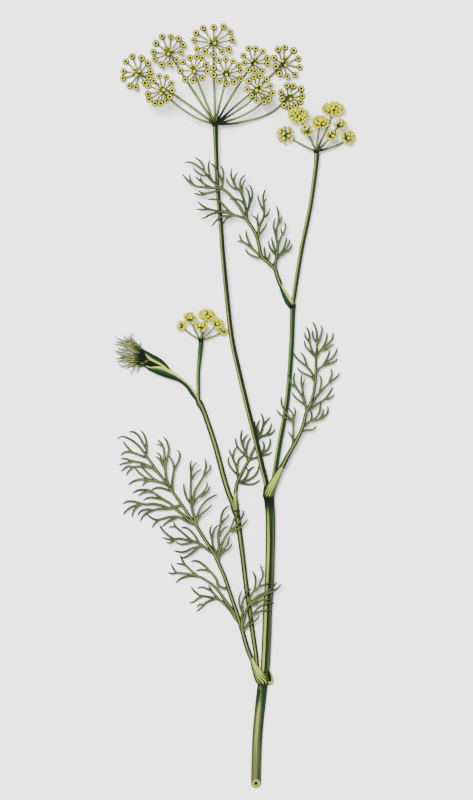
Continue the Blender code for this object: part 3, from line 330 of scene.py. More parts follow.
def stalks(name, routes, finish, sides, ribs, depth):
    """One object of ribbed stalks along routes of (place, radius), in metres."""
    curve = bpy.data.curves.new(name + "_path", "CURVE")
    curve.dimensions = "3D"
    curve.twist_mode = "Z_UP"
    for route in routes:
        spline = curve.splines.new("POLY")
        spline.points.add(len(route) - 1)
        for point, (place, radius) in zip(spline.points, route):
            point.co = (*place, 1)
            point.radius = radius
    path = linked(name + "_path", curve)
    made = run_tree(name, STALK_TREE, {"Path": path, "Sides": sides, "Ribs": float(ribs), "Rib Depth": depth,
                                       "Skin": finish})
    bpy.data.objects.remove(path)
    return made


def dress(piece, slot, *nodes):
    """Hands a piece over to the frame, in place of its solids."""
    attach(piece, "root")
    if nodes:
        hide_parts(*nodes)


def route_of(points, steps, width=1.0):
    """A smooth route of (place, radius) in metres, from rows of a pixel, a height and a radius."""
    return [(at(x, y, z), width * r / 1000) for x, y, z, r in smooth(traced(points), steps)]


STALK_TREE = stalk_tree()
for node, points in STEM_ROUTES.items():
    ribs = STEM_RIBS[node]
    stalk = stalks(node + "_skin", [route_of(points, steps=5)], skin(node + "_bark", stem_paint(node)),
                   sides=4 * ribs, ribs=ribs, depth=0.07)
    if node != "main_stem":
        dress(stalk, "stem", node)


# The cut end: the knife went through the stem at a slant. It shows a pale rim of pith around the hollow,
# which runs on up the stem; the hollow's walls are painted near black, as painted shade.
CUT_MIDDLE = at(256.0, 783.7, 2.45)
CUT_SLANT = math.radians(45)
HOLLOW, HOLLOW_DEPTH, MOUTH, NARROWED = 0.00075, 0.012, 1.25, 0.9
PITH_PALE, PITH_DARK, HOLLOW_SHADE = (0.24, 0.26, 0.065, 1), (0.13, 0.14, 0.040, 1), (0.003, 0.004, 0.002, 1)


def pith_paint(wire):
    grain = wire.noise(2600.0, detail=4.0)
    inside = wire.mark("hollow").between(0.1, 0.9)
    colour = grain.between(0.3, 0.75).mix(PITH_PALE, PITH_DARK)
    colour = wire.mark("hollow").between(-0.70, -0.92).mix(colour, EDGE)
    # The walls of the hollow take near-black painted shade.
    return inside.mix(colour, HOLLOW_SHADE), 0.80 + 0.1 * grain, grain


def cut_end(stem):
    """Cuts the stem at a slant, and hollows it: from the rim to the pith, the hollow's mouth and its end."""
    form = bmesh.new()
    form.from_mesh(stem.data)
    cut = Vector((0, -math.cos(CUT_SLANT), math.sin(CUT_SLANT)))
    hollow = form.verts.layers.float.new("hollow")
    found = bmesh.ops.bisect_plane(form, geom=form.verts[:] + form.edges[:] + form.faces[:], dist=1e-7,
                                   plane_co=CUT_MIDDLE, plane_no=cut, clear_outer=True)
    rim = [e for e in found["geom_cut"] if isinstance(e, bmesh.types.BMEdge)]
    face = bmesh.ops.contextual_create(form, geom=rim)["faces"][0]
    for radius, step, mark in ((0.0, 0.0, -1.0), (HOLLOW * MOUTH, 0.0, 0.0), (HOLLOW, 0.0, 1.0),
                               (HOLLOW * NARROWED, HOLLOW_DEPTH, 1.0)):
        face = bmesh.ops.extrude_discrete_faces(form, faces=[face])["faces"][0]
        face.material_index = 1
        for vert in face.verts:
            vert[hollow] = mark
            if radius:
                across = vert.co - CUT_MIDDLE
                across.y = 0
                place = CUT_MIDDLE + across.normalized() * radius
                place.y = CUT_MIDDLE.y + (place.z - CUT_MIDDLE.z) * math.tan(CUT_SLANT) + step
                vert.co = place
        for edge_face in {f for v in face.verts for f in v.link_faces}:
            edge_face.material_index = 1
            edge_face.smooth = False
    bmesh.ops.recalc_face_normals(form, faces=form.faces)
    form.to_mesh(stem.data)
    form.free()
    stem.data.materials.append(skin("pith", pith_paint))


main_skin = bpy.data.objects["main_stem_skin"]
cut_end(main_skin)
dress(main_skin, "stem", "main_stem")


# The sheaths: at each knuckle the foot of the leaf is a pale boat-shaped sleeve, ribbed lengthwise, which
# wraps the stem and opens along one side with a thin papery edge.
SHEATH_WALL, SHEATH_RIBS, RIB_RISE = 0.00062, 9, 0.00010
UP = Vector((0, 0, 1))
LOWER_SHEATH = """263.4,684.8,4.1,2.9,-15,245 263.2,681.4,4.25,3.45,5,240 260.8,676.5,4.55,3.45,33,232
    257.7,670,4.9,2.85,55,228 254.3,664,5.3,1.9,60,230 251.2,657,5.6,0.9,40,250"""
RIGHT_SHEATH = """268.3,497.4,7.3,3,-50,175 269,491,7.55,3.1,-45,145 272.2,483.5,8.4,2.75,-40,132
    276.2,476.5,9.6,2,-35,150 280.4,469.5,10.4,1.35,-45,200 284,463.5,10.8,0.8,-60,240"""
UPPER_SHEATH = """292.8,307.6,5.45,1.75,15,265 291.5,304.4,5.65,2.2,30,250 288.4,299.6,6,2.25,40,235
    284.6,293,6.45,1.7,42,232 281.2,286.5,7,1.05,40,235 278.6,280.5,7.4,0.7,20,260"""
SIDE_SHEATH = """235.4,512,4.55,2,-60,130 234.6,504,4.5,2.05,-60,108 234.9,497,4.3,1.3,-90,130
    235.8,491,4.2,0.7,-100,200"""
# The lower mouth: a near-black tube set in the lower sheath's opening, painted shade of the hollow inside it.
LOWER_MOUTH_SHADE = """267.4,670,5.6,0.4 268.9,673.4,5.6,0.85 269.6,677,5.6,0.95 269.8,679.8,5.5,0.85
    269.8,681.6,5.2,0.5"""
LOWER_LIP = """268.2,668.6,5.5,0.2 270.2,672.2,5.7,0.34 271.7,676.6,5.8,0.4 272,680.4,5.8,0.5
    271,682.6,5.8,0.74 268.8,682.6,5.9,0.7 266.8,681.4,5.9,0.3"""
YOUNG_LOBES = [
    """197.4,401.6,6,0.7 196.2,398.4,6,0.95 192.4,392.6,5.95,1.35 188,386.5,5.9,1.2 182.4,381.6,5.8,1.2
    177.4,378.2,5.7,1.45 172.2,375.6,5.6,2 164,372,5.4,2.45 156.6,370,5.2,1.95 150.4,368.8,5,1.05
    143.6,365.6,4.9,0.3""",
    """170.4,370.6,5.7,0.4 164.6,365,5.9,1.05 158.8,361,6,1.55 151.4,357,6,1.6 144.4,351.8,6,0.95
    138.2,346,6,0.3""",
]
# The young mouth: a near-black sleeve under the young leaf's lobes and the roots of its threads, painted
# shade of its opening and of the gaps between the threads.
YOUNG_MOUTH_SHADE = """168,369.6,4.5,0.8 158,366.4,4.2,1.6 150,363.4,4,2.2 143.6,359,4,1.8 139.6,356,3.9,0.8"""
CREAM = (0.42, 0.46, 0.06, 1)
# The near-black painted shade inside the sheaths.
INSIDE_SHADE_BLACK, INSIDE_SHADE_GREEN = (0.001, 0.003, 0.0015, 1), (0.003, 0.010, 0.004, 1)


def sheath_skin(name, paint):
    """A material with a sheath's ribs and streaks: `paint` gives its colour."""
    def ribbed(wire):
        streak, rib = streaks(wire, 9.0), wire.mark("rib")
        return paint(wire, streak, rib), 0.45 + 0.15 * streak, rib * 0.7 + streak * 0.3
    return skin(name, ribbed)


def sleeve_paint(wire, streak, rib):
    along = wire.mark("along")
    # Across the sleeve by the side it faces: pale where it faces the light, darker towards both flanks:
    # painted light and shade.
    colour = (0.5 + 0.5 * wire.mark("side") + (streak - 0.5) * 0.3).ramp(
        (0.0, DEEP), (0.12, EDGE), (0.22, OLIVE), (0.32, PALE), (0.64, PALE), (0.78, OLIVE), (0.90, MOSS),
        (0.97, EDGE), (1.0, DEEP))
    # Dark lines in the grooves between the ribs: the sheath's own veins, with painted shade in the grooves.
    line = rib.between(0.62, 0.20) * streak.between(0.25, 0.50) * 0.8
    line = line + along.between(0.008, 0.001) * rib.between(0.9, 0.4)
    colour = (line * 0.9).mix(colour, EDGE)
    colour = (along.between(0.0016, 0.0004) * 0.9).mix(colour, DEEP)
    return wire.mark("edge").between(0.86, 0.96).mix(colour, DEEP)


def upper_paint(wire, streak, rib):
    # Across the upper sheath by the side it faces: a pale lit band, and emerald and near-black painted shade
    # on the flank beside it, where the inside lies in shadow.
    colour = (0.5 + 0.5 * wire.mark("side") + (streak - 0.5) * 0.2).ramp(
        (0.0, DEEP), (0.12, EMERALD), (0.36, EMERALD), (0.46, DEEP), (0.54, OLIVE), (0.62, PALE),
        (0.76, PALE), (0.83, OLIVE), (0.88, DEEP), (1.0, DEEP))
    return wire.mark("along").between(0.0040, 0.0010).mix(colour, DEEP)


def lobe_paint(wire, streak, rib):
    # Across the young lobes from margin to margin: a cream margin of their own, and emerald and near-black
    # painted shade on the flank beyond it; darker again in the grooves between the ribs: painted shade.
    colour = (wire.mark("share") + (streak - 0.5) * 0.2).ramp(
        (0.0, EDGE), (0.08, EMERALD), (0.30, DEEP), (0.52, EMERALD), (0.62, OLIVE), (0.68, CREAM),
        (0.90, CREAM), (0.95, OLIVE), (1.0, EDGE))
    return ((1 - rib) * 0.4 * streak).mix(colour, DEEP)


# The inside of a sheath and the dark pieces in the sheaths' mouths: near-black painted shade, with faint
# streaks.
def inside_shade_paint(wire):
    streak = streaks(wire, 9.0)
    return streak.mix(INSIDE_SHADE_BLACK, INSIDE_SHADE_GREEN), 0.7 + 0.1 * streak, streak


INSIDE_SHADE_SKIN, LOBE_SKIN = skin("sheath_inside_shade", inside_shade_paint), sheath_skin("lobe_skin", lobe_paint)
SHEATH_SKIN = sheath_skin("sheath_skin", sleeve_paint)
UPPER_SKIN = sheath_skin("upper_sheath_skin", upper_paint)


def new_layers(form, *names):
    """Numbers that the points of a form carry for its material."""
    return [form.verts.layers.float.new(name) for name in names]


def mesh_of(form, name):
    """The smooth mesh of a finished form."""
    mesh = bpy.data.meshes.new(name)
    form.to_mesh(mesh)
    form.free()
    mesh.shade_smooth()
    return mesh


def sheath(name, stations, finish, flip=False):
    """The curved, ribbed wall of a sheath as a closed solid. A station is a pixel, a height and a radius in
    millimetres, and the angles in degrees that the wall runs between, from right over the top to left."""
    columns = 4 * SHEATH_RIBS
    line = smooth(stations, 5)
    places = [at(x, y, z) for x, y, z, *_ in line]
    form = bmesh.new()
    rib, edge, width, along, side, top = new_layers(form, "rib", "edge", "share", "along", "side", "top")
    rows = []
    for i, (_, _, _, radius, start, end) in enumerate(line):
        ahead = (places[min(i + 1, len(places) - 1)] - places[max(i - 1, 0)]).normalized()
        right = ahead.cross(UP).normalized()
        up = right.cross(ahead)
        row = []
        for k in range(columns + 1):
            share = k / columns
            angle = math.radians(start + (end - start) * share)
            out = right * math.cos(angle) + up * math.sin(angle)
            crest = 0.5 - 0.5 * math.cos(2 * math.pi * SHEATH_RIBS * share)
            vert = form.verts.new(places[i] + out * (radius / 1000 + RIB_RISE * crest))
            vert[rib], vert[edge], vert[width] = crest, abs(2 * share - 1), 1 - share if flip else share
            vert[along], vert[side], vert[top] = (places[i] - places[0]).length, out.x, out.z
            row.append(vert)
        rows.append(row)
    for lower, upper in zip(rows, rows[1:]):
        for k in range(columns):
            form.faces.new((lower[k], lower[k + 1], upper[k + 1], upper[k]))
    made = linked(name, mesh_of(form, name))
    # The wall's first face takes the near-black painted shade of the inside; the face and the rims that
    # Solidify adds take the sheath's own skin.
    for layer in (INSIDE_SHADE_SKIN, finish):
        made.data.materials.append(layer)
    wall = made.modifiers.new("wall", "SOLIDIFY")
    wall.thickness = SHEATH_WALL
    wall.offset = 1
    wall.material_offset = wall.material_offset_rim = 1
    settle(made)
    made.data.shade_smooth()
    return made


def boat(stations):
    """The stations of a lobe that is open below: its wall runs over the top."""
    return [(*station, 0, 180) for station in traced(stations)]


for name, stations, finish in (("lower", LOWER_SHEATH, SHEATH_SKIN), ("right", RIGHT_SHEATH, SHEATH_SKIN),
                               ("upper", UPPER_SHEATH, UPPER_SKIN), ("side", SIDE_SHEATH, SHEATH_SKIN)):
    dress(sheath(name + "_sheath", traced(stations), finish), "leaf", name + "_leaf")
for number, stations in enumerate(YOUNG_LOBES, 1):
    lobe = sheath("young_lobe_{}".format(number), boat(stations), LOBE_SKIN, flip=number == 1)
    dress(lobe, "leaf", *(["young_leaf"] if number == 1 else []))
# The two mouths are near-black painted shade; the lip is the lower sheath's own rim.
dress(sheath("young_mouth", boat(YOUNG_MOUTH_SHADE), INSIDE_SHADE_SKIN), "leaf")
for name, points, finish in (("mouth", LOWER_MOUTH_SHADE, INSIDE_SHADE_SKIN), ("lip", LOWER_LIP, SHEATH_SKIN)):
    dress(stalks("lower_" + name, [route_of(points, steps=4)], finish, sides=16, ribs=4, depth=0.05), "leaf")


# The leaves: each is cut again and again into soft threads as fine as stout sewing cotton, which taper and
# curl at their tips. They grow in sprigs from the sides of a grooved green midrib. A leaf here is a seed, its
# midrib and its sprigs: the lowest and the highest tip in millimetres, then the pixels of each thread.
LEAVES = {
    "lower": (11, """251.2,658.6,5.8,1.1 246.8,647.5,5.8,1.05 241.5,629,5.8,1 235.6,610,6.2,0.95
        230.7,596,6.5,0.92 224.4,577,6.9,0.9 218,562.4,7.2,0.88 213,552,7.4,0.85 207.2,543.5,7.5,0.8
        200.8,533.3,7.5,0.78 194.4,523,7.4,0.75 188.7,515.5,7.2,0.72 181,504,6.9,0.7 172.5,492,6.4,0.68
        164.3,480.7,5.9,0.66 155.5,469,5.2,0.62 147.4,457.5,4.4,0.58 139,446.5,3.4,0.55 132,440.6,2.4,0.5
        125,437.2,1.5,0.42 120.6,436.8,1,0.3 117.2,439.4,0.7,0.14""", [
        (2.5, 5.0, """147,455.5 146.5,447 146,440.5 143.8,434.5 140.6,430.3; 145.5,450.5 142.5,442.5 138,435.2
         133.3,431.8 128.7,432"""),
        (0.5, 2.5, """148,458.2 141.5,455.8 134.5,453.2 129,451.8 124.5,452.2 120.4,455.6; 133,452.8 128,448
         125,444.3 123,441"""),
        (0.5, 3.5, """160.5,475.5 154,469.5 148,465.6 142,463 135.5,461.6 129.5,460.2 125.3,458.7 120.6,459;
         134,461.6 128.7,462.3 124,463.2 119,465; 152.5,468.7 145.5,466.5 138.7,466.5 132,466.8 127.3,466.5
         121,471.5; 134,467.3 130,469.7 127.5,472.5 126.3,475.7"""),
        (1.0, 4.0, """167.5,485.5 162.5,483 155.5,481 147,480.2 140.7,479.3 135.3,480.5 131.3,482.4 128.2,485;
         160,482.2 152.5,477.8 147,472.5 142.7,468 140.7,462.2; 153.5,480.4 146.7,478.3 140.7,474.3 137.3,471
         134.6,467.6; 148.5,480.6 144.5,482.8 142.2,486.2"""),
        (2.0, 3.5, """172,492 167.3,489.7 161.5,488 156,487.8 151.2,490.2"""),
        (1.0, 3.5, """192.5,525 187.5,519.3 182.5,514.3 177,510.2 173.3,506.3 169.3,503 164.7,500.2
         158.7,496.3 153,492.4 148,490 142.7,489.7 137.3,490.4 132.7,493; 153.5,492.8 147,491.6 142,493.2
         138.3,495.8; 163.5,499.6 158,498.4 152,497.4 147.5,498 143.2,500.4"""),
        (0.4, 2.5, """175.5,509 170,508.2 164,506.3 158,504.6 152,504 146,504.4 141,503.4 136,502 131.5,501.3
         126.7,501.7 122.8,503.8; 143.5,504.2 137.3,505 131.3,507 126.7,510.3 122.8,514.6; 140.5,504.6
         136,507.8 133.3,511.3 132,517; 171.5,508.7 165,508.7 158.7,508.9 153.3,510 148,509.3 143.3,510
         140,511.8 137.6,515.5; 154.7,509.8 150,511.4 145.5,513.7 142.4,517 140,521.4"""),
        (0.6, 3.2, """193.8,525.5 188,522 183,519 178,516.9 172.5,516.6 166.5,517.6 161,519.2 156,519.8
         151.5,518.2 148.3,515.6 145.8,514; 160,519.6 156,522.3 153.5,525 151.8,528; 178,517.4 172,519.6
         167,522.3 164,525 162,527.4"""),
        (1.5, 5.0, """212.8,553.8 208.5,550.5 204.5,547 200,543.8 195,541.8 190.5,539.5 186,535.7 181.3,531.7
         177,528 174.6,525 173.2,521.4; 178,528.8 175,527 172,526.7 168.6,527.4; 199.5,543.4 196,537.7
         192.7,533 189.3,529.7 186,527.8 181,527.8; 192,540.6 185.3,539.7 179.5,538.5 174.7,538.9 170.5,536.9
         166.5,534 162.5,530 159.2,524.8; 176.5,538.6 172,539.8 167.3,539 161.8,537.6; 176,539 172.7,541.7
         169.3,543 166.3,542.3; 195,541.9 190,542.8 185,543.9 181,544.3 178.5,543.6 175.8,542.2; 205,547.4
         201,546.4 196.7,547 191.3,548.5 186.7,551 182,552 178,551.7 173.8,550.6; 199.5,546.5 195,550.5
         190.5,554 185.5,557 182.5,557.6 179.6,557.2"""),
        (0.5, 3.5, """238.5,620.5 235,614.5 229.5,606.5 223.5,598.3 218.7,591.2 213.3,585.5 207,580.9 200,577
         193.3,576.1 187,576.5 182,578 178.5,580.2 175.8,583; 198.7,576.5 192,571.5 186.7,566.4 182.7,561.3
         180.3,554.8; 186.5,566.2 182,564.3 175.8,563.7; 199,576.6 190,574.2 183.3,573.4 177,572.8 172,573.7
         167.8,572.6; 176.5,572.8 173.3,568.7 170.9,563.5"""),
        (2.5, 4.5, """219.5,592.2 218.7,586 216.7,580 213.5,575.3 209,570.3 204,565.3 199.3,562 194.7,560.7
         190.8,561.8; 211,572.6 206.7,570.5 201.3,569.6 195.8,570.8"""),
        (0.4, 3.0, """239.5,624 234.5,616.8 230.5,610.8 225.3,605 220,600.3 214.7,598 209.3,597.2 204,596.2
         199.5,595.4 196.3,593 193.3,590.4 191,586.4; 203.5,596.4 197.5,598.9 193.3,602 189,603.2; 220,600
         214.7,594.8 210.7,590.8 205.3,588.2 201.3,587.3 197,588.4; 213,592.7 210.3,588.5 208.2,585; 216.5,599
         210.7,600.3 206,602.7 202.7,606 200,608.8 196.5,611.6; 203.3,605.2 200.3,604.2 198,605.7
         196.8,608"""),
        (4.5, 6.5, """170.5,489.5 167.8,483.5 166.2,477.5 165.3,471.5 165.5,465 166.9,459.5 168.4,453.7
         168.7,448.3 167.4,443 165.5,439.3 163,436.7; 165.3,468 164.6,461 164.3,454.3 163.3,447.7 161,442.8
         157.2,439.6; 162.8,447.3 160,444.8 156.1,444.2; 165.2,470.5 162.8,463 161,457.5 159,454 156,451.8;
         164.5,470.5 160.9,461.6 158.2,458 155.2,456.8"""),
        (5.0, 7.0, """172.5,492.5 172,485 172.6,477.5 174,470.5 176.7,464.8 178.9,460 179.8,455 178.8,451.6
         176.4,450.2; 174.2,470.6 173.3,464.5 171.4,459.3 168.8,455.5"""),
        (6.0, 8.5, """195.8,527 195,519 192.5,511.5 191.2,504.5 190.6,497 190.6,488.5 190.8,480.5 190.9,473
         190.3,465 191.8,459.8; 191,472.5 193,467 196.8,462.1; 191,480.5 193.5,476 197.3,471.7 201.8,468.8;
         192.2,508.5 193,500.5 195.3,490.6 198.9,483.9 202.7,477.8 204.8,471.5 206,465.7 205.2,458.6;
         201.8,479.3 205.3,474.4 208.7,471.2 210.4,467.8 209.7,464; 192.8,505.5 196,499.7 201.3,494.3
         205.3,489.5 207.1,485.5 206.7,481.2; 197.8,498.3 203.3,495.1 207.3,491.2 210.5,486; 190.8,504.5
         187.3,499 184.9,493 183.8,486.8 184,482.6"""),
        (6.0, 8.0, """196.8,528.5 196.4,520.5 198.8,511.5 202.7,504.5 207.3,499.8 212,496.8 217.5,494.2;
         197,521.5 200.7,515 205.3,511 208.7,508 212.3,503.6"""),
        (7.0, 9.5, """217.6,558 215.6,551.5 213,546 212,540 210.8,535.5 210,531 210.6,527.5 212.6,524.8;
         211.9,540 212.8,534.5 214.3,530 216.2,526.8 218.8,525; 217.6,561.5 218,554 218.8,547 218.3,540
         218.2,534 219.6,528 220.6,522.5 221.4,516.5 223,511.5 226,507.8 229.8,505.4; 220.4,526.5 222.8,521.8
         226,518.4 228.2,516 229,513.2; 218.3,538.5 220.3,533.4 223.3,529.4 226,527.2 229,525.4; 217.9,562.5
         219.2,554 221,546.5 224.6,538.5 228.4,532.6 232,529.8 235.5,526.5 238.5,523 241.3,518.5 243.2,514
         243,509.6; 229.5,531.8 234,530.8 238,529 241.5,526.4 244.8,523 247.9,519; 228.8,532.2 231.6,526.5
         234,519.5 237.2,514.6 240.2,510.2; 218.4,559.5 220.8,553.5 224,549 227,545.3 228.6,541 229.3,536.3;
         220.3,555 224.4,551.3 228.3,549 230.7,546.5 231.9,543"""),
        (9.6, 12.0, """242.5,633 241.8,626 242,617 242.4,609 242.6,603 244,598.5 246,594.6 248.6,590.8
         252,588.2; 242.2,613 240.2,607.5 239,602.5 239.4,597 241.9,590.4; 243,628 243.9,618.5 246.2,611
         248.8,604 250.6,597 253,592 255,587 255.6,580.5 254.6,575 252.2,570.8; 253.6,591.5 257,589
         259.3,585.5 260.6,581.5 262.5,577.5 262.8,572.5 261.3,567.8 260.2,563.9; 255.2,590.4 259.5,587
         263.6,584.8 267.5,583.6 270.5,583.1; 249.4,604.5 253.5,600 257.5,596 262,593.6 266.5,591.6 270.5,589
         274,585.8 277.2,581.6; 250,606.5 254.5,601.8 259,598 263.5,595.3 268,593 273,591 277.5,588.4
         281.4,583.6; 250.8,607.5 254.8,604.4 259,601.8 263,600.3 267,599.4 271,599.2; 243.8,631.5 247,625.5
         250.2,619 253.6,613.2 257.2,609 261.2,605.9 265.5,603.8 270,602.8 274.4,603.2; 251.8,616.6 255,613.8
         259,611.8 263,610.6 267,610.3 271,610.5; 247.8,625.8 251.5,623.6 255,620.8 257.8,618.2
         259.7,615.5"""),
    ]),
    "side": (12, """235.2,494,4.2,0.9 236.4,485,3.9,0.8 238.2,479.5,3.8,0.76 241.5,473,3.7,0.7
        245.2,466,3.6,0.66 248.6,460,3.6,0.62 251.2,454,3.6,0.6 254.2,448,3.5,0.56 257.6,441.2,3.4,0.52""", [
        (1.5, 4.0, """257,442.5 260.6,433.5 262.2,428.5 263.3,423.5 263,418.5 261.8,415 260.4,413; 262.6,427
         265,423 267.5,419.8 270.2,417; 259.6,436 258.2,431.5 257.3,427 258,423 259.9,420; 258.4,437.5
         256.8,432.5 255.2,427.5 254.8,424 254.8,421.2; 259,438.5 263,436 267,433.4 269.6,430 271,426.5
         271.2,422.8; 262,436.6 266,435.3 270,434.3 273,432 275.3,428.6"""),
        (3.0, 4.6, """247.2,461.5 246.6,456 244.2,449.5 241.8,443.5 240.8,438 241.2,433.5 241.9,429.8;
         243.3,447 243.2,442 245,437.5 248,434; 246.6,456.5 246.2,450 247.2,444 249,440 251.4,437.6; 246.8,458
         243.5,453.8 240.3,450.6 237.5,447 235.9,442.5 235.4,438"""),
        (1.5, 4.0, """248.4,460.4 252,458.8 256,457.6 260,455.6 262.4,452 263.9,447.5 263.7,443.5 261.7,440.2;
         261,454.6 264.5,452.2 267.8,449 269.7,445 270.2,441.5 269.8,437.8; 257,457.4 262,455.6 266,454.9
         269.2,453.8 272,451.9"""),
        (2.0, 4.4, """238,480 237.5,473 237.3,466 238.5,460.5 241,457.2 244.3,455.6; 237.4,472.5 236,467
         234,461.5 232,456.8 230.2,453 229.3,449; 233.2,459.5 233.4,454 234.8,449.6 237.2,446.3; 237.7,475.5
         234,471.5 230.8,467.5 228.9,464 228.2,460.5 228.6,457"""),
        (0.4, 3.4, """237.4,483 241,481.6 244,479.5 246.8,475.5 248.3,471.5 250.8,468.6 254.5,466.4;
         248.2,472.4 247.7,469.8 246.4,467.6; 241,481.8 246,480.8 250.5,478.8 254.5,475.8 257,472.5 258.2,469
         258.4,466; 237.5,483.2 243,483.6 248,484.4 252.5,484.2 256.5,482.6 260,479.8"""),
    ]),
    "right": (13, """281.8,467.4,10.8,1.25 285.8,459.2,11,1.1 291.2,449.5,11,0.98 296.6,440,10.8,0.9
        301,431,10.5,0.85 303.8,422,10.2,0.8 305.9,413,9.9,0.76 310,404,9.4,0.7 313.2,394,8.8,0.68
        314.6,385,8.4,0.66 315.6,375,8,0.64 315.7,366,7.4,0.6 316,357,6.8,0.56 316.8,349,6.2,0.52""", [
        (3.5, 6.0, """316.8,350 316.9,340 316.8,334 315.8,328.5 314.4,324.8 312.4,321.8; 316.9,343 314.5,340
         313,336.5 312.5,333 312.8,330; 317,344.5 319.2,340.5 320.8,335.5 321.9,330.5 321.8,327.5
         320.6,325"""),
        (4.5, 6.5, """315.4,358.5 313.3,353 310.9,347.5 309.6,342 309.4,336.5 308.8,332 307.6,329 305.4,326.8;
         309.6,343 307.5,339.8 305.3,336.5 304.6,332; 314.6,357.5 311,352.5 307.6,348.8 305.2,345.5
         304.3,340.5"""),
        (2.5, 5.5, """316,359 317.4,354.5 319.8,351.2 322.3,347.8 324.5,344 326,340 326.9,336 326.5,332.5;
         320.6,350.6 324.4,347.6 328,344 331.2,340.2 333,336.5 332.8,332; 320.2,351.2 323.5,349.8 327.5,348.6
         330.5,346 334.3,344"""),
        (3.0, 6.5, """315.8,376 317,371.5 319.5,368.5 322.5,366 325,362 327.2,358 328.8,354 329.7,350;
         322.5,365.8 326.5,362.8 330.5,359.6 333.6,356.2 336,352 337.5,347.6; 321,367 325,365 329.5,363.8
         333.5,362.3 336,360.5 337.5,358"""),
        (8.8, 9.8, """314.8,382 313.6,377 311.5,372.5 308.5,368.5 304.5,365 300.5,361.6 297,358.5 294.5,355
         293,351.5; 307.4,367.5 305.8,362.5 304.4,358 302.6,354.8 300.3,352; 314.6,384 313.2,379 310,376.2
         306,374.3 302,372.5 299,370 297.2,367.2"""),
        (4.0, 7.0, """308.4,409 312,403.5 315.5,398.5 319.5,393.2 323.5,388.8 327.5,384.6 331,381.5 335,378.6
         338,375.5 339.3,372; 328.3,384 330,379.5 331.7,375 331.7,371.5 330.8,368.3; 318.6,394.3 320.2,388.5
         321.2,382.5 320.9,378 319.3,374.8"""),
        (1.5, 4.5, """307.6,411 312.5,407.4 317,404.2 321.5,401.6 325.6,398.2 328.6,394.4 331,390.5 332.8,387;
         324.5,399.4 328.5,398.8 332,396.8 334.8,393.8"""),
        (9.4, 10.6, """306.8,412.5 305.6,405 303.9,398 302.7,391 301.3,384.5 301.1,378.5 302,374; 302.6,389.5
         303,384.8 304.7,378.9; 304.8,403 303,398.5 300,393.2 296.4,388 294.5,383.5 293.8,378.5 295,372.5;
         296.6,388.5 292.5,385.2 290.4,381.5 289,377 287.8,374.6; 306.4,411 305,405.5 300.8,401.8 297,399
         294,395.8 292,392.3"""),
        (0.4, 3.6, """302.4,427.5 306.5,424.5 310,421.4 314,420.4 318.5,419.6 322.5,418 326,415 328,410.8
         327.6,406; 310.2,420.8 311.6,417 311.6,413.5 310.5,410.4; 312,420.6 315.2,418.2 318,414.8 319.7,410.5
         320.6,405.5 320.3,400.5; 319.5,419.2 321.6,416.5 322.9,413.3 323.6,409"""),
        (4.0, 6.0, """300.6,431.5 305.5,430.5 310,430 313.5,429.3 316.5,425.8"""),
        (10.2, 11.6, """291.4,449.5 292.8,444 293.3,438 293.4,431 293.3,424.5 293.8,418.5 295.4,413.5
         295.2,410 293.6,406.8; 293.3,424 291.8,419.8 288.5,416 285.5,412.2 282.9,407.5 281.4,402.5
         281.2,396.2; 292.4,422.8 289,419.9 285.5,417.5 281.5,415.4 278.5,412.5 276.3,409.3; 293.5,420.5
         292.8,414.5 290.6,410.6 288.6,407.8; 293.3,440.5 291.8,436.8 289.8,433.8 287.6,431.2"""),
    ]),
    "upper": (14, """280.2,284.5,7.2,1.05 277.2,276.5,7.7,0.98 274.9,269.4,8.3,0.92 270.5,264.8,9,0.86
        266,260.7,9.8,0.84 262,257,10.5,0.82 259.7,251,11.2,0.8 258.4,243.5,12,0.8 256.3,236,12.8,0.78
        252.6,228.8,13.5,0.76 246.6,219.8,14.3,0.74 240.5,208.8,15,0.7 233,198.6,15.6,0.68
        225.5,191.2,15.8,0.66 217.5,186,15.6,0.64 211,179.8,15,0.6 206.2,174.2,14.2,0.56""", [
        (11.0, 13.5, """206.8,175 203,170.6 199,167.2 195,164.4 190.5,162.5 187,162.3 184.2,163.4; 204.8,172
         203.7,167.5 201.8,163.3 198.8,160 194.6,157.6; 207.2,175.6 203,175.8 198.5,173.4 195.5,171
         193.2,168.2"""),
        (14.5, 16.0, """213.5,183 210.8,178 209.2,172.5 208.6,167.5 208.8,163.5 210.2,160.2; 217.5,186
         217.4,179 217,172.5 215,167.5 212.6,164.9 210,163.6; 222.6,188.8 222.8,182 223.4,176.5 223.3,171.8
         222.2,168.6 219.9,165.4; 222.2,184 221,178.5 219.4,174.2 218,171"""),
        (9.0, 12.0, """221,188.2 214.5,188.2 207,187.8 200.5,187.2 195,185.8 191,183.6 188,180.8 185.3,177.6
         182.4,174.6; 194.6,185.6 191.7,182.6 190,179 189.6,174.4; 214,187.6 208.5,186.4 204,184 200,180.8
         195.2,176.8; 202.6,183.4 201.2,180 200.6,176.5; 222,189.4 214,192 208,193.4 203,193.3 200.5,192.3
         198.3,190.6; 209,193.2 204,194.8 200,194.8 197,194.2 193.8,193.2"""),
        (13.4, 14.8, """246,219.6 240.5,217 235,215.4 230,212.2 225.5,207.6 221.5,203 218,200.6 213.5,199.4
         208,199.8; 233,214.4 228,212 222,211.6 215,210.8 209.5,209.4 205,207.6 201,204.8 197.5,201.5;
         214,210.6 208,209.8 202,210 196,209.2; 231,213.4 225,212.8 219,212.6 213,213.8 209,215.5 205.5,217.6
         201.4,219; 238.5,216.4 233,215.6 227.5,216.2 222,216.8 218.6,219 215.5,222 212.6,225.2 211.2,227;
         233.5,216 229.5,217.2 226.5,218.8 224.5,221.5 223,225"""),
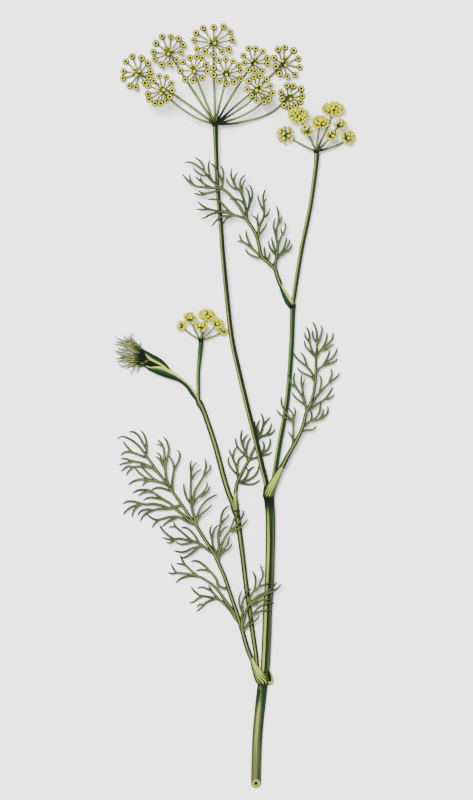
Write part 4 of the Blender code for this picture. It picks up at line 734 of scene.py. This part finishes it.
        (15.8, 17.6, """247.4,220.8 246.4,212 244.8,204 242.9,197.5 240.4,192 237.2,188.6 234.4,184.5
         232.2,179.5 231,174.5 231.6,168.8; 236.4,187.8 234.4,183 234.4,179 235.6,175.8 238,172.8; 239,190.6
         235,189.2 231,186.6 228.4,183.2 227,180.4 226.9,177.6; 242.2,196 241,190 240.1,185.5 240.4,181.5
         242.2,178 245.8,175; 242.6,196 242.4,190 242.6,185.5 244.2,181.8 245.6,178.6; 246.8,214 248.6,208
         249.4,201.5 249.2,195.5 247.8,190.8 245,187.2; 247.6,212 249.6,205.5 251.6,199.5 252.4,194
         251.7,189.5 250.5,187 248.4,185; 245.8,207.5 243.5,204 240.8,201 237.5,199.6 233.5,199 231.2,199.2
         229.2,200.2"""),
        (9.5, 12.5, """257.6,241 258.3,233 258.9,227.5 261,223.2 263.6,217.6 264.2,210.5 263.8,204 263.1,198.5
         263.6,194.5 265.6,188.6; 263.9,212.5 261.8,207.8 259.7,202.8 258.3,198 258,194.2; 263.8,203.5
         264.8,200.6 267,198.6; 263.8,218.5 266.6,215.8 268.9,212 269.5,208.2; 258.7,230 257.8,223.5
         257.4,218.8 258.3,212.6; 257.6,221 255.6,218.2 253.8,216.6 251.2,215.2; 258.4,236.5 261,233 263.4,230
         265.6,226.5 266.8,223"""),
        (4.5, 7.0, """266,260.8 261.5,257 257,253 252.8,248.6 249.6,243.5 247.4,238.5 246.2,234 246.4,230;
         255,251.2 250,246.8 246,243.6 242.5,241.4 240.3,237.5 239.2,233.6; 246,243.4 242.5,241.8 239.5,241.2
         236.3,240.8; 262,257.8 257.5,257.6 253,256 249.6,254.4 247,251.8 245.4,248.2"""),
        (5.5, 8.0, """268,262.8 266,257.5 264.7,252.5 264.3,249 264.8,246.3; 267,261.4 268.6,258.5 269.6,255
         269.7,251.8"""),
        (7.5, 10.0, """274.9,269.4 275.6,262.5 276.4,257.5 277.5,250.5 277.5,244 276.2,237.5 276.2,231.5
         277.6,226 278.6,220.5 278.5,214.5 277.8,210 276.3,205.8; 278.2,226 280,222.5 281.2,219 281.2,215.5;
         276.3,238.5 275,233 273.9,228.5 273.7,223.5 275.4,217.8; 277.8,246 279.8,241 281.5,236.5 284,232.5
         285.3,228.5 285.4,225.5 284.6,222; 282.2,234.8 281.5,231.5 280.8,227.8; 276.6,255.5 274.6,249.5
         272.8,243.5 271.8,239.5 272.2,236.4; 276.4,256.5 273.5,252.8 270.6,248.6 269,244.6 268.6,240.4"""),
        (5.5, 7.5, """275.8,262 278.8,256.5 281.5,252.2 284,247.5 285.6,242.5 286.8,237; 279.3,257 282.5,254
         285.3,250.5 287.7,246.5 289.3,242.5 289.6,239; 281.5,255 285.3,251.8 288.5,250.4 290.8,247.5
         292.4,244"""),
    ]),
    "young": (15, """197.6,400.4,6,1 194,396,5.9,1.1 189,389.4,6,1.25 183,383.2,5.8,1.35 176,378,5.7,1.6
        170,374,5.6,1.9 163,369.5,5.5,1.7 156,365,5.4,1.3 150,361,5.4,1""", [
        (5.5, 8.5, """150,361 140,350 132,343.5 126,341 120,339.5 114.8,336.6; 150,361 140,349 132,342 127,339
         124.5,337.8 123.7,334.8; 150,361 141,350 133,341.5 129.5,338 126.8,336.2; 148,358 139,346 134.5,341.2
         130.8,337.8 132,335 133.6,332.7; 148,358 138,345 136,342.4 133.8,341 131.5,340 130.5,338.2; 150,361
         143,352 134,346 126,344.5 120,342.8 115,341.2; 150,361 143,353 134,348 127,347 122,345.5 118,344.8
         114.3,344; 150,360 142,351 135,345 129.5,342.6 124,342.4 119.5,340.8; 141,347.5 140.4,344.5
         140.5,341.4"""),
        (4.5, 8.0, """151,361 144,354 135,351 127,351 122,350.2 118,349.4; 151,361.5 145,356 136,353.5
         128,353.4 121,352.6 117,351.2 113.4,350.6; 151,361.5 145,357 137,356 130,356.3 125,355.8 120,354.5
         116.4,352.6; 151,362 146,358.5 138,357.6 131,357.2 125,358 120,358.4 115,358.6; 151,362 144,355
         136,349.8 129.5,349.4 125,348.6 121,349.6 118.2,347.6; 151,362 146,359 137,355 131,354.4 126,356.8
         121,357.4 117.5,359.6"""),
        (2.5, 6.0, """151,362.5 147,360 138,359.8 131,359.6 126,360.5 121,361 116.4,361.8; 151,362.5 147,360.5
         138,358.4 132,357.6 128.5,359.8 124.8,360.4; 151,363 148,361.5 139,361.6 132,361.2 127,362.3
         123.5,363.6 121.5,364.6"""),
        (1.0, 5.0, """151,363 148,362.5 140,363.4 134,363.4 128,365 123,366.4 120,365 118.6,363; 152,363
         149,363 141,364.6 136,364.8 131,366.2 128.3,367.3 127,369; 152,363.5 150,363.5 142,365.6 137.5,365.6
         134,368.4 131.4,371.6 131,375; 152,364 150,364 144,365.8 140.5,366 138.4,368.4 137.4,371.4
         137.5,373.4; 152,363.5 149,363.5 140,362.6 133.5,362 129,363.6 126.5,366.4; 152,364 150,364.5 143,365
         137,363.8 133,366.4 134.2,369.6"""),
    ]),
}
# A thread is as thin as TIP_RADIUS at its tip, and gains THREAD_RADIUS over a few times TAPER. Further down
# than SWELL_FROM it swells slowly, and over the NECK_LENGTH at its root it narrows to the share NECK.
TIP_RADIUS, THREAD_RADIUS, TAPER = 0.00023, 0.00040, 0.0020
SWELL, SWELL_FROM, NECK, NECK_LENGTH = 0.012, 0.010, 0.75, 0.002
TUFT_SHARE, MIDRIB_WIDTH = 0.72, 1.28
ARCH, LOWEST = 0.05, 0.00035
LEAF_LIGHT, LEAF_DARK = (0.086, 0.108, 0.031, 1), (0.034, 0.050, 0.018, 1)
LEAF_EDGE_SHADE = (0.0045, 0.0070, 0.0034, 1)
TUFT_PALE, MIDRIB_CREST = (0.190, 0.210, 0.050, 1), (0.16, 0.19, 0.036, 1)


def leaf_paint(wire):
    streak = streaks(wire, 5.0, 12.0)
    patch = wire.noise(90.0)
    colour = (patch + (streak - 0.5) * 0.5).between(0.35, 0.7).mix(LEAF_LIGHT, LEAF_DARK)
    # Dark along both flanks of each thread, seen from above, where it turns away from the light: painted
    # shade.
    colour = wire.mark("top").between(0.96, 0.62).mix(colour, LEAF_EDGE_SHADE)
    colour = (wire.mark("reach").between(0.65, 1.0) * 0.80).mix(colour, EDGE)
    return colour, 0.5 + 0.2 * streak, streak * 0.6 + wire.mark("rib") * 0.4


def midrib_paint(wire):
    streak = streaks(wire, 6.0)
    flush = wire.noise(120.0)
    # Across the midrib by the side it faces: pale along its crest and dark at both flanks, as light from
    # above falls on it: painted light and shade.
    across = 0.5 + 0.5 * wire.mark("side") + (streak - 0.5) * 0.2 + (flush - 0.5) * 0.2
    colour = across.ramp((0.0, DEEP), (0.22, EDGE), (0.34, MOSS), (0.42, OLIVE), (0.50, MIDRIB_CREST),
                         (0.58, OLIVE), (0.68, MOSS), (0.78, EDGE), (1.0, DEEP))
    colour = (wire.mark("reach").between(0.80, 1.0) * 0.8).mix(colour, EDGE)
    return colour, 0.5 + 0.15 * streak, streak * 0.6 + wire.mark("rib") * 0.4


def tuft_paint(wire):
    streak = streaks(wire, 5.0, 12.0)
    colour = wire.noise(400.0).between(0.40, 0.60).mix(TUFT_PALE, OLIVE)
    # Dark along both flanks of each young thread: painted shade. Nearer the roots, where the threads crowd,
    # the shade mask darkens them in patches: painted shade.
    colour = wire.mark("top").between(0.90, 0.60).mix(colour, EDGE)
    shade = wire.mark("reach").between(0.62, 0.35) * wire.noise(300.0).between(0.25, 0.45)
    return shade.mix(colour, DEEP), 0.5 + 0.2 * streak, streak


LEAF_SKIN, MIDRIB_SKIN = skin("leaf_skin", leaf_paint), skin("midrib_skin", midrib_paint)
TUFT_SKIN = skin("tuft_skin", tuft_paint)


def nearest(lines, aim):
    """The place on some lines of places that is nearest to one, seen from above."""
    best = None
    for line in lines:
        for start, end in zip(line, line[1:]):
            run = (end - start).xy
            share = max(0, min(1, (aim - start).xy.dot(run) / max(run.length_squared, 1e-12)))
            place = start.lerp(end, share)
            if best is None or (place - aim).xy.length < (best - aim).xy.length:
                best = place
    return best


def runs(line):
    """How far along a line each of its places is."""
    steps = [0.0]
    for start, end in zip(line, line[1:]):
        steps.append(steps[-1] + (end - start).length)
    return steps


def grow(lines, pixels, tip_height):
    """The line of places of a thread: from the line it grows on, slightly arched, to its tip."""
    root = nearest(lines, at(*pixels[0], 0))
    flat = [Vector(p) for p in smooth([tuple(root.xy)] + [tuple(at(x, y, 0).xy) for x, y in pixels[1:]], 4)]
    steps = runs(flat)
    total = steps[-1]
    return [Vector((*place, max(LOWEST, root.z + (tip_height - root.z) * run / total
                                + ARCH * total * math.sin(math.pi * run / total))))
            for place, run in zip(flat, steps)]


def thicken(line, share):
    """A route of (place, radius) along a thread, thinner to its tip and a little at its root."""
    left = runs(line[::-1])[::-1]
    route = []
    for place, rest in zip(line, left):
        radius = TIP_RADIUS + THREAD_RADIUS * (1 - math.exp(-rest / TAPER))
        radius += SWELL * max(0, rest - SWELL_FROM)
        neck = NECK + (1 - NECK) * min(1, (left[0] - rest) / NECK_LENGTH)
        route.append((place, radius * neck * share))
    return route


for name, (seed, midrib, sprigs) in LEAVES.items():
    draw = random.Random(seed)
    rib = route_of(midrib, steps=4, width=MIDRIB_WIDTH)
    share, finish = (TUFT_SHARE, TUFT_SKIN) if name == "young" else (1, LEAF_SKIN)
    threads = []
    for low, high, traces in sprigs:
        grown = [[place for place, _ in rib]]
        for trace in traces.split(";"):
            grown.append(grow(grown, traced(trace), draw.uniform(low, high) / 1000))
        threads += [thicken(line, share) for line in grown[1:]]
    if name != "young":
        dress(stalks(name + "_leaf_midrib", [rib], MIDRIB_SKIN, sides=12, ribs=3, depth=0.12), "leaf")
    dress(stalks(name + "_leaf_threads", threads, finish, sides=6, ribs=2, depth=0.10), "leaf")


# The umbels: each stalk ends in a knot that many slender rays spring from, like the ribs of an umbrella. Each
# ray carries a small umbel of its own, with thin pedicels that end in a flower or a bud. An umbellet here is
# its middle, its half width and height in pixels, the pixels of its open flowers, its rings of buds, the
# radius of a bud in millimetres, and the places that its ray bends at.
MAIN_UMBELLETS = [
    ((136.0, 71.5, 6.4), (13.6, 15.8), """125.3,60.8 132.4,56.2 141,57.5 148.3,63.5 150,71.4 149.4,77.8
     144.4,82.8 136.3,87.6 128.8,85.5 123.4,78.3 122.9,70.7""", (5,), 0.94, "185,102,8.5 160,85.5,3.4"),
    ((161.0, 91.0, 28.0), (12.0, 13.3), """153.4,81.5 159.6,77.2 166.3,78 172,84.5 172.2,91.3 170.2,98
     166.3,101.2 161.2,104.5 155,104 149.8,100.3 147.8,94.8 148.9,86.8""", (4,), 0.96,
     "198,119,15 178,106.5,21"),
    ((167.7, 50.8, 9.0), (15.0, 14.2), """155.4,42.5 162.2,36.6 170.5,35.8 179,39 182.7,44.4 181.2,52.7
     176.1,59.6 170,64.4 161.4,64.5 154.8,59.5 152.9,51.5""", (5,), 0.92, "198,98.5,10.5 181,72,6"),
    ((193.5, 70.0, 35.0), (13.5, 12.0), """183.1,63.2 190.3,59.5 196.9,57.7 202.5,59.5 206.3,65.5 207.8,72.9
     202.4,79.3 193.6,82.1 185.5,80.7 180.5,72.5""", (5,), 0.94, "207.5,106,18 199.5,86.5,26.5"),
    ((213.3, 40.2, 10.6), (19.5, 14.0), """195.8,32.5 203,28.2 213.7,26.4 223.7,26.8 230.4,31.5 232.5,40.5
     229,49 222.2,52.5 213.5,54.5 204.9,52.3 196.9,49.1 193.7,40.9""", (5,), 0.92,
     "214.6,100,11 213.6,65,7.5"),
    ((226.3, 73.0, 32.0), (13.7, 12.0), """213.7,68.6 218.7,62 226,60.3 233.1,62.7 238.9,65.9 240.7,72
     241.1,79.6 234.4,83.2 226.9,84.7 219.5,82.5 213.7,76.2""", (4,), 0.92, "219.5,106,18 224,88,25"),
    ((254.7, 61.8, 24.0), (12.0, 12.0), """243.5,56.2 248.5,49.5 256,48.9 262.8,52.3 267.6,58.6 267.6,64.7
     262.8,72 254.6,72.5 248.7,70.5 244,64.3""", (4,), 0.92, "229,101,14 244,77,17.5"),
    ((258.9, 89.5, 34.0), (12.4, 13.4), """249,82.3 253.8,78.2 260.4,76.8 266.5,80.7 270.7,87.1 272.4,94.5
     269,100.2 263.7,103.2 256.5,101.2 251.1,97.1 247.5,90.5""", (5,), 0.94, "232,114.5,18 249,103.5,26.5"),
    ((285.4, 61.5, 7.0), (12.7, 15.0), """274.4,57.5 277.5,49.5 285.1,46.6 293.3,50.5 298.9,57.9 299.4,67.5
     295.4,74.3 287,76.8 279.9,73.2 275.7,67""", (4,), 0.94, "238,104,9.5 265.5,80.5,4"),
    ((291.5, 96.5, 5.6), (10.8, 11.6), """281.6,92.1 286.2,85.6 293.9,85.6 300.8,88.6 302.8,95.5 300.1,101.6
     296,105.2 289.6,108.5 284.5,105 281.7,98.9""", (3,), 0.92, "240,122.5,8.5 270,113,2.6"),
    ((266.5, 99.0, 18.0), (4.6, 4.6), "", (6, 1), 0.90, "236,118.6,13.5 254,109.6,13"),
]
SECOND_UMBELLETS = [
    ((285.6, 134.5, 5.4), (7.6, 7.6), "", (11, 6, 1), 1.04, "306,146.6,6.4 295,140.6,2.6"),
    ((298.6, 115.4, 12.0), (9.4, 7.2), "", (17, 11, 6, 1), 0.90, "309,136,9 303,124,8.4"),
    ((307.0, 130.8, 21.0), (5.6, 5.0), "", (11, 1), 0.86, "312.6,144,12.5"),
    ((320.3, 122.2, 13.0), (7.8, 5.8), "", (15, 9, 4), 0.88, "317.8,137,10"),
    ((333.2, 108.6, 9.0), (10.0, 6.1), "", (18, 12, 6, 2), 0.90, "322.5,138,8.8 330,121,6.4"),
    ((339.8, 124.4, 14.5), (5.6, 4.5), "", (11, 2), 0.84, "329,139,10.4"),
    ((331.7, 135.4, 21.0), (5.4, 4.8), "", (11, 2), 0.84, "323.5,145.6,13.4"),
    ((348.4, 137.2, 6.6), (5.8, 6.3), "", (12, 4), 0.95, "332,147,7 341,143.2,4"),
]
THIRD_UMBELLETS = [
    ((180.8, 325.6, 5.0), (3.3, 4.1), "", (8, 2), 0.93, "190,333.6,5"),
    ((190.0, 317.8, 9.0), (5.4, 4.5), "", (11, 5), 0.90, "195,331,7.2"),
    ((207.0, 315.4, 6.6), (7.2, 4.6), "", (13, 7, 2), 0.95, "204.6,329,5.6"),
    ((201.4, 325.9, 15.0), (5.5, 3.8), "", (10, 4), 0.93, "201.4,334,10.2"),
    ((217.4, 323.8, 10.4), (4.9, 3.9), "", (9, 4), 0.93, "209.6,332.4,8"),
    ((223.2, 331.6, 4.8), (3.2, 3.1), "", (6, 1), 0.95, "212.6,336.6,5.2"),
]
# Each umbel as a whole. `depth` is how far an umbellet's knot lies below its flowers, and `jitter` how far
# its buds stray. The last three numbers are radii.
UMBELS = {
    "main": {"umbellets": MAIN_UMBELLETS, "hub": at(215.3, 124.6, 12.6), "seed": 100, "depth": 0.0036,
             "jitter": 0.0, "ray": 0.00058, "knot": 0.0017, "small_knot": 0.00095},
    "second": {"umbellets": SECOND_UMBELLETS, "hub": at(316.5, 151.6, 9.2), "seed": 200, "depth": 0.0026,
               "jitter": 0.00022, "ray": 0.00052, "knot": 0.0015, "small_knot": 0.0008},
    "third": {"umbellets": THIRD_UMBELLETS, "hub": at(201.0, 340.4, 7.8), "seed": 300, "depth": 0.0018,
              "jitter": 0.00040, "ray": 0.00048, "knot": 0.0015, "small_knot": 0.0007},
}
LEAN_LOW, LEAN_HIGH, TALLEST = 0.66, 0.30, 0.036


def ray_paint(wire):
    right = wire.node("ShaderNodeSeparateXYZ", {0: wire.node("ShaderNodeTexCoord", out="Object")}, out="X")
    streak = streaks(wire, 5.0, 80.0)
    # Across each ray and pedicel by the side it faces: pale along the middle, dark at both flanks: painted
    # light and shade.
    across = 0.5 + 0.5 * wire.mark("side") + (streak - 0.5) * 0.2
    colour = across.ramp((0.0, DEEP), (0.18, EDGE), (0.32, OLIVE), (0.46, PALE), (0.58, OLIVE), (0.74, MOSS),
                         (0.84, EDGE), (1.0, DEEP))
    # Near black towards the knots, where rays and pedicels crowd, over the knots themselves, and on the inner
    # half of the rays and pedicels a little right of the main and second hubs: painted shade.
    colour = wire.mark("reach").between(0.22, 0.0).mix(colour, DEEP)
    for umbel in ("main", "second"):
        past = right - UMBELS[umbel]["hub"].x
        near = past.between(0.0, 0.002) * past.between(0.045, 0.030)
        colour = (near * wire.mark("reach").between(0.50, 0.15)).mix(colour, DEEP)
    return colour, 0.5 + 0.15 * streak, streak


RAY_SKIN = skin("ray_skin", ray_paint)
KNOT_SEED, KNOBS = 7, 0.08


def knot(name, places):
    """Small knobbly knots, where stalks meet: one at each (place, radius, axis)."""
    form = bmesh.new()
    draw = random.Random(KNOT_SEED)
    for place, radius, axis in places:
        turned = UP.rotation_difference(axis).to_matrix()
        ball = bmesh.ops.create_uvsphere(form, u_segments=14, v_segments=9, radius=radius)["verts"]
        for vert in ball:
            vert.co *= 1 + draw.uniform(-KNOBS, KNOBS)
            vert.co = turned @ vert.co + place
    side, top, _, _ = new_layers(form, "side", "top", "reach", "along")
    for vert in form.verts:
        vert[side], vert[top] = vert.normal.x, vert.normal.z
    made = linked(name, mesh_of(form, name))
    made.data.materials.append(RAY_SKIN)
    return made


# Flowers stand FLOWER_LIFT over and under their ring by turns, tilted outwards by TILT, with the buds in the
# CORE of the ring. Where an umbellet has no flowers, its buds make a DOME.
FLOWER_LIFT, BUD_LIFT, DOME = 0.0005, 0.0005, 0.0024
CORE, TILT = 0.27, 0.35
BUD_TURN, BUD_RISE = 0.1, 0.0002


def umbellet(umbel, spec, seed):
    """Where the flowers and the buds of an umbellet sit: (place, facing) for each, and its root and axis."""
    (px, py, height), (half_width, half_height), flowers, rings, size, _ = spec
    draw = random.Random(seed)
    middle = at(px, py, height)
    slope = LEAN_LOW + (LEAN_HIGH - LEAN_LOW) * middle.z / TALLEST
    away = (middle - umbel["hub"]).xy.normalized()
    axis = Vector((*(away * slope), 1)).normalized()
    root = middle - axis * umbel["depth"]

    def bloom(spread, lift):
        place = middle + Vector((*spread, -slope * spread.dot(away))) + axis * lift
        place.z = max(size / 1000, place.z)
        return place, ((place - root).normalized() * TILT + UP).normalized()

    open_flowers, closed = [], []
    for k, (x, y) in enumerate(traced(flowers)):
        open_flowers.append(bloom((at(x, y, 0) - at(px, py, 0)).xy, FLOWER_LIFT if k % 2 else -FLOWER_LIFT))
    for ring, count in enumerate(rings):
        share = (CORE if flowers else 1.0) * (1 - ring / (len(rings) - 0.4)) if count > 1 else 0
        for k in range(count):
            angle = 2 * math.pi * (k + 0.5 * (ring % 2)) / count + draw.uniform(-BUD_TURN, BUD_TURN)
            spread = Vector((half_width * math.cos(angle), half_height * math.sin(angle))) * PIXEL * share
            spread += Vector((draw.uniform(-1, 1), draw.uniform(-1, 1))) * umbel["jitter"]
            lift = BUD_LIFT if flowers else DOME * (1 - share ** 2)
            closed.append(bloom(spread, lift + draw.uniform(-BUD_RISE, BUD_RISE)))
    return open_flowers, closed, root, axis


PEDICEL_SAG, PEDICEL_STEPS, PEDICEL_FLARE = 0.0003, 3, 0.25


def stem_of(root, place, facing, thin):
    """The route of a pedicel, from the small knot to the back of a flower."""
    middle = root.lerp(place, 0.5) - facing * PEDICEL_SAG
    line = smooth([tuple(root), tuple(middle), tuple(place)], PEDICEL_STEPS)
    return [(Vector(p), thin * (1.0 + PEDICEL_FLARE * (i / PEDICEL_STEPS - 1) ** 2))
            for i, p in enumerate(line)]


# An open flower: round and flat, about 3 mm across, with small yellow petals rolled in to their tips around a
# dark nectar disc. From a hand's width away it reads as a yellow ring with a dark eye, and a dark olive
# outline that is painted shade where the petals curl down at the rim.
FLOWER_RADIUS, PETALS, FLOWER_SIDES = 0.00182, 5, 15
# How deep the gap between two petals cuts in, and how far the flower dips there.
GAP, DIP = 0.10, 0.05
YELLOW, OCHRE, OUTLINE_SHADE = (0.50, 0.49, 0.003, 1), (0.36, 0.36, 0.001, 1), (0.009, 0.010, 0.002, 1)
NECTAR, UNDERSIDE = (0.003, 0.002, 0.001, 1), (0.03, 0.035, 0.005, 1)
# Its rings, from the middle over the petals to the ovary: radius, height, mark, and 1 on the under side.
FLOWER_PROFILE = [(0.12, -0.02, 0.12, 0), (0.30, -0.03, 0.30, 0), (0.62, 0.15, 0.62, 0),
                  (0.88, 0.13, 0.88, 0), (1.0, -0.04, 1.0, 0), (0.45, -0.32, 1.0, 1), (0.16, -0.90, 1.0, 1)]


def petal_paint(wire):
    mottle = wire.noise(1500.0, detail=3.0)
    spread = wire.mark("from_centre") + (mottle - 0.5) * 0.10
    colour = mottle.between(0.35, 0.7).mix(YELLOW, OCHRE)
    colour = spread.between(0.47, 0.33).mix(colour, NECTAR)
    # Dark olive over the outer petals to the rim: painted shade.
    colour = spread.between(0.62, 0.76).mix(colour, OUTLINE_SHADE)
    colour = wire.mark("under").between(0.2, 0.8).mix(colour, UNDERSIDE)
    return colour, 0.55 + 0.1 * mottle, mottle


PETAL_SKIN = skin("petal_skin", petal_paint)


def flower_form():
    """One open flower of radius 1, facing up, with its ovary below."""
    form = bmesh.new()
    spread, under = new_layers(form, "from_centre", "under")
    rings = []
    for radius, height, mark, below in FLOWER_PROFILE:
        ring = []
        for k in range(FLOWER_SIDES):
            angle = 2 * math.pi * k / FLOWER_SIDES
            crease = abs(math.cos(PETALS / 2 * angle))
            notch = 1 - GAP * crease ** 8 * (radius > 0.6)
            vert = form.verts.new((radius * notch * math.cos(angle), radius * notch * math.sin(angle),
                                   height - DIP * crease ** 6 * (radius > 0.4)))
            vert[spread], vert[under] = mark, below
            ring.append(vert)
        rings.append(ring)
    for lower, upper in zip(rings, rings[1:]):
        for k in range(FLOWER_SIDES):
            after = (k + 1) % FLOWER_SIDES
            form.faces.new((lower[k], upper[k], upper[after], lower[after]))
    form.faces.new(rings[0])
    form.faces.new(list(reversed(rings[-1])))
    bmesh.ops.recalc_face_normals(form, faces=form.faces)
    return mesh_of(form, "flower")


# A bud: the petals still closed to a tight yellow ball with five faint furrows, which is olive where it grows
# out of its pedicel. From its sides down its paint turns near black: that base, and painted shade round its
# sides. The buds fill the middles of the main umbellets, and all of the other two umbels.
BUD_YELLOW, BUD_GREEN, BUD_BASE_AND_SHADE = (0.48, 0.47, 0.002, 1), (0.32, 0.33, 0.001, 1), (0.006, 0.007, 0.001, 1)


def bud_paint(wire):
    mottle = wire.noise(1800.0, detail=3.0)
    colour = mottle.between(0.35, 0.7).mix(BUD_YELLOW, BUD_GREEN)
    # Near black from the bud's sides down: its base, and painted shade round its sides.
    colour = (wire.mark("from_centre") + (mottle - 0.5) * 0.16).between(0.27, 0.36).mix(colour, BUD_BASE_AND_SHADE)
    return colour, 0.45 + 0.2 * mottle, mottle


BUD_SKIN = skin("bud_skin", bud_paint)


def bud_form():
    """One bud of radius 1 round the origin, its tip up."""
    form = bmesh.new()
    bmesh.ops.create_uvsphere(form, u_segments=10, v_segments=6, radius=1.0)
    [spread] = new_layers(form, "from_centre")
    for vert in form.verts:
        angle = math.atan2(vert.co.y, vert.co.x)
        vert[spread] = math.acos(max(-1, min(1, vert.co.z))) / math.pi
        vert.co.xy *= 1 - 0.10 * abs(math.cos(PETALS / 2 * angle)) ** 6
    return mesh_of(form, "bud")


def bloom_tree():
    """Geometry nodes that set a flower or a bud on every point, facing its way, each turned by chance."""
    wire, given = new_tree("blooms", {"Places": "Object", "Bloom": "Object", "Seed": "Int",
                                      "Skin": "Material"}, "Blooms")
    places = wire.node("GeometryNodeObjectInfo", {"Object": given["Places"]}, out="Geometry")
    bloom = wire.node("GeometryNodeObjectInfo", {"Object": given["Bloom"]}, out="Geometry")
    facing = wire.node("GeometryNodeInputNamedAttribute", {"Name": "facing"}, data_type="FLOAT_VECTOR")
    size = wire.node("GeometryNodeInputNamedAttribute", {"Name": "size"}, data_type="FLOAT")
    chance = wire.node("FunctionNodeRandomValue", {2: 0.0, 3: 2 * math.pi, "Seed": given["Seed"]}, out=1,
                       data_type="FLOAT")
    spin = wire.node("FunctionNodeAxisAngleToRotation", {"Axis": (0, 0, 1), "Angle": chance})
    aimed = wire.node("FunctionNodeAlignRotationToVector", {"Rotation": spin, "Vector": facing}, axis="Z")
    blooms = wire.node("GeometryNodeInstanceOnPoints",
                       {"Points": places, "Instance": bloom, "Rotation": aimed, "Scale": size})
    blooms = wire.node("GeometryNodeRealizeInstances", {"Geometry": blooms})
    blooms = wire.node("GeometryNodeSetMaterial", {"Geometry": blooms, "Material": given["Skin"]})
    wire.node("NodeGroupOutput", {0: blooms})
    return wire.tree


BLOOM_TREE = bloom_tree()


def blooms(name, form, places, finish, seed):
    """One object of all the flowers, or all the buds, of an umbel: one at each (place, facing, size)."""
    mesh = bpy.data.meshes.new(name + "_places")
    mesh.from_pydata([place for place, _, _ in places], [], [])
    facing = mesh.attributes.new("facing", "FLOAT_VECTOR", "POINT")
    facing.data.foreach_set("vector", [number for _, way, _ in places for number in way])
    size = mesh.attributes.new("size", "FLOAT", "POINT")
    size.data.foreach_set("value", [radius for _, _, radius in places])
    spots, pattern = linked(name + "_places", mesh), linked(name + "_pattern", form)
    made = run_tree(name, BLOOM_TREE, {"Places": spots, "Bloom": pattern, "Seed": seed, "Skin": finish})
    for helper in (spots, pattern):
        bpy.data.objects.remove(helper)
    return made


# Each umbel is put together from its hub outwards: the rays with their knots, then the pedicels, and last the
# buds and the flowers, each a little larger or smaller than the next.
FLOWER, BUD = flower_form(), bud_form()
SEAT = 0.8
FLOWER_SIZES, FLOWER_PEDICEL = (0.92, 1.06), 0.00040
BUD_SIZES, BUD_PEDICEL = (0.88, 1.12), 0.00031
RAY_ROOT, RAY_THINNING = 1.12, 0.22
for name, umbel in UMBELS.items():
    open_flowers, buds, pedicels, rays = [], [], [], []
    knots = [(umbel["hub"], umbel["knot"], UP)]
    draw = random.Random(umbel["seed"])
    for number, spec in enumerate(umbel["umbellets"], 1):
        flowers, closed, root, axis = umbellet(umbel, spec, umbel["seed"] + number)
        knots.append((root, umbel["small_knot"], axis))
        for found, made, radius, sizes, thin in (
                (flowers, open_flowers, FLOWER_RADIUS, FLOWER_SIZES, FLOWER_PEDICEL),
                (closed, buds, spec[4] / 1000, BUD_SIZES, BUD_PEDICEL)):
            for place, facing in found:
                size = radius * draw.uniform(*sizes)
                made.append((place, facing, size))
                pedicels.append(stem_of(root, place - facing * size * SEAT, facing, thin))
        line = smooth([tuple(umbel["hub"]), *(tuple(at(*bend)) for bend in traced(spec[-1])), tuple(root)], 6)
        count = len(line) - 1
        rays.append([(Vector(p), umbel["ray"] * (RAY_ROOT - RAY_THINNING * i / count))
                     for i, p in enumerate(line)])
    ribs = stalks(name + "_umbel_ribs", rays, RAY_SKIN, sides=12, ribs=6, depth=0.08)
    dress(ribs, "ray", name + "_umbel_rays")
    dress(knot(name + "_umbel_knots", knots), "ray")
    label = "{}_umbellet_{:02d}" if name == "main" else "{}_umbellet_{}"
    nodes = [label.format(name, number) for number in range(1, len(umbel["umbellets"]) + 1)]
    dress(stalks(name + "_pedicels", pedicels, RAY_SKIN, sides=6, ribs=2, depth=0.05), "ray", *nodes)
    dress(blooms(name + "_buds", BUD, buds, BUD_SKIN, seed=3), "bud")
    if open_flowers:
        dress(blooms(name + "_flowers", FLOWER, open_flowers, PETAL_SKIN, seed=5), "flower")


# The table, the light and the camera: a plain pale top, soft light from the upper left, and a long lens that
# looks straight down, so that the stem reads as it does pressed on a page.
def table_paint(wire):
    return wire.noise(30.0).mix((0.90, 0.90, 0.895, 1), (0.92, 0.92, 0.915, 1)), 0.9, 0.0


HALF_TABLE = 3
mesh = bpy.data.meshes.new("table")
mesh.from_pydata([(x * HALF_TABLE, y * HALF_TABLE, 0) for x, y in ((-1, -1), (1, -1), (1, 1), (-1, 1))], [],
                 [(0, 1, 2, 3)])
mesh.materials.append(skin("table_top", table_paint))
linked("table", mesh)

world = bpy.data.worlds.new("studio")
world.use_nodes = True
sky = world.node_tree.nodes["Background"].inputs
sky["Color"].default_value, sky["Strength"].default_value = (1.0, 1.0, 1.0, 1), 1.15
bpy.context.scene.world = world
lamp = bpy.data.lights.new("window", "SUN")
lamp.energy = 8.5
lamp.angle = math.radians(12)
window = linked("window", lamp)
window.rotation_euler = Vector((0.10, -0.13, -1.0)).to_track_quat("-Z", "Y").to_euler()

PHOTO_WIDTH, PHOTO_HEIGHT = 473, 800
lens = bpy.data.cameras.new("camera")
lens.lens = 600
lens.sensor_width = 36
lens.clip_end = 50
camera = linked("camera", lens)
camera.location = at(PHOTO_WIDTH / 2, PHOTO_HEIGHT / 2, 8)
camera.location.z += PHOTO_HEIGHT * PIXEL * lens.lens / lens.sensor_width
bpy.context.scene.camera = camera
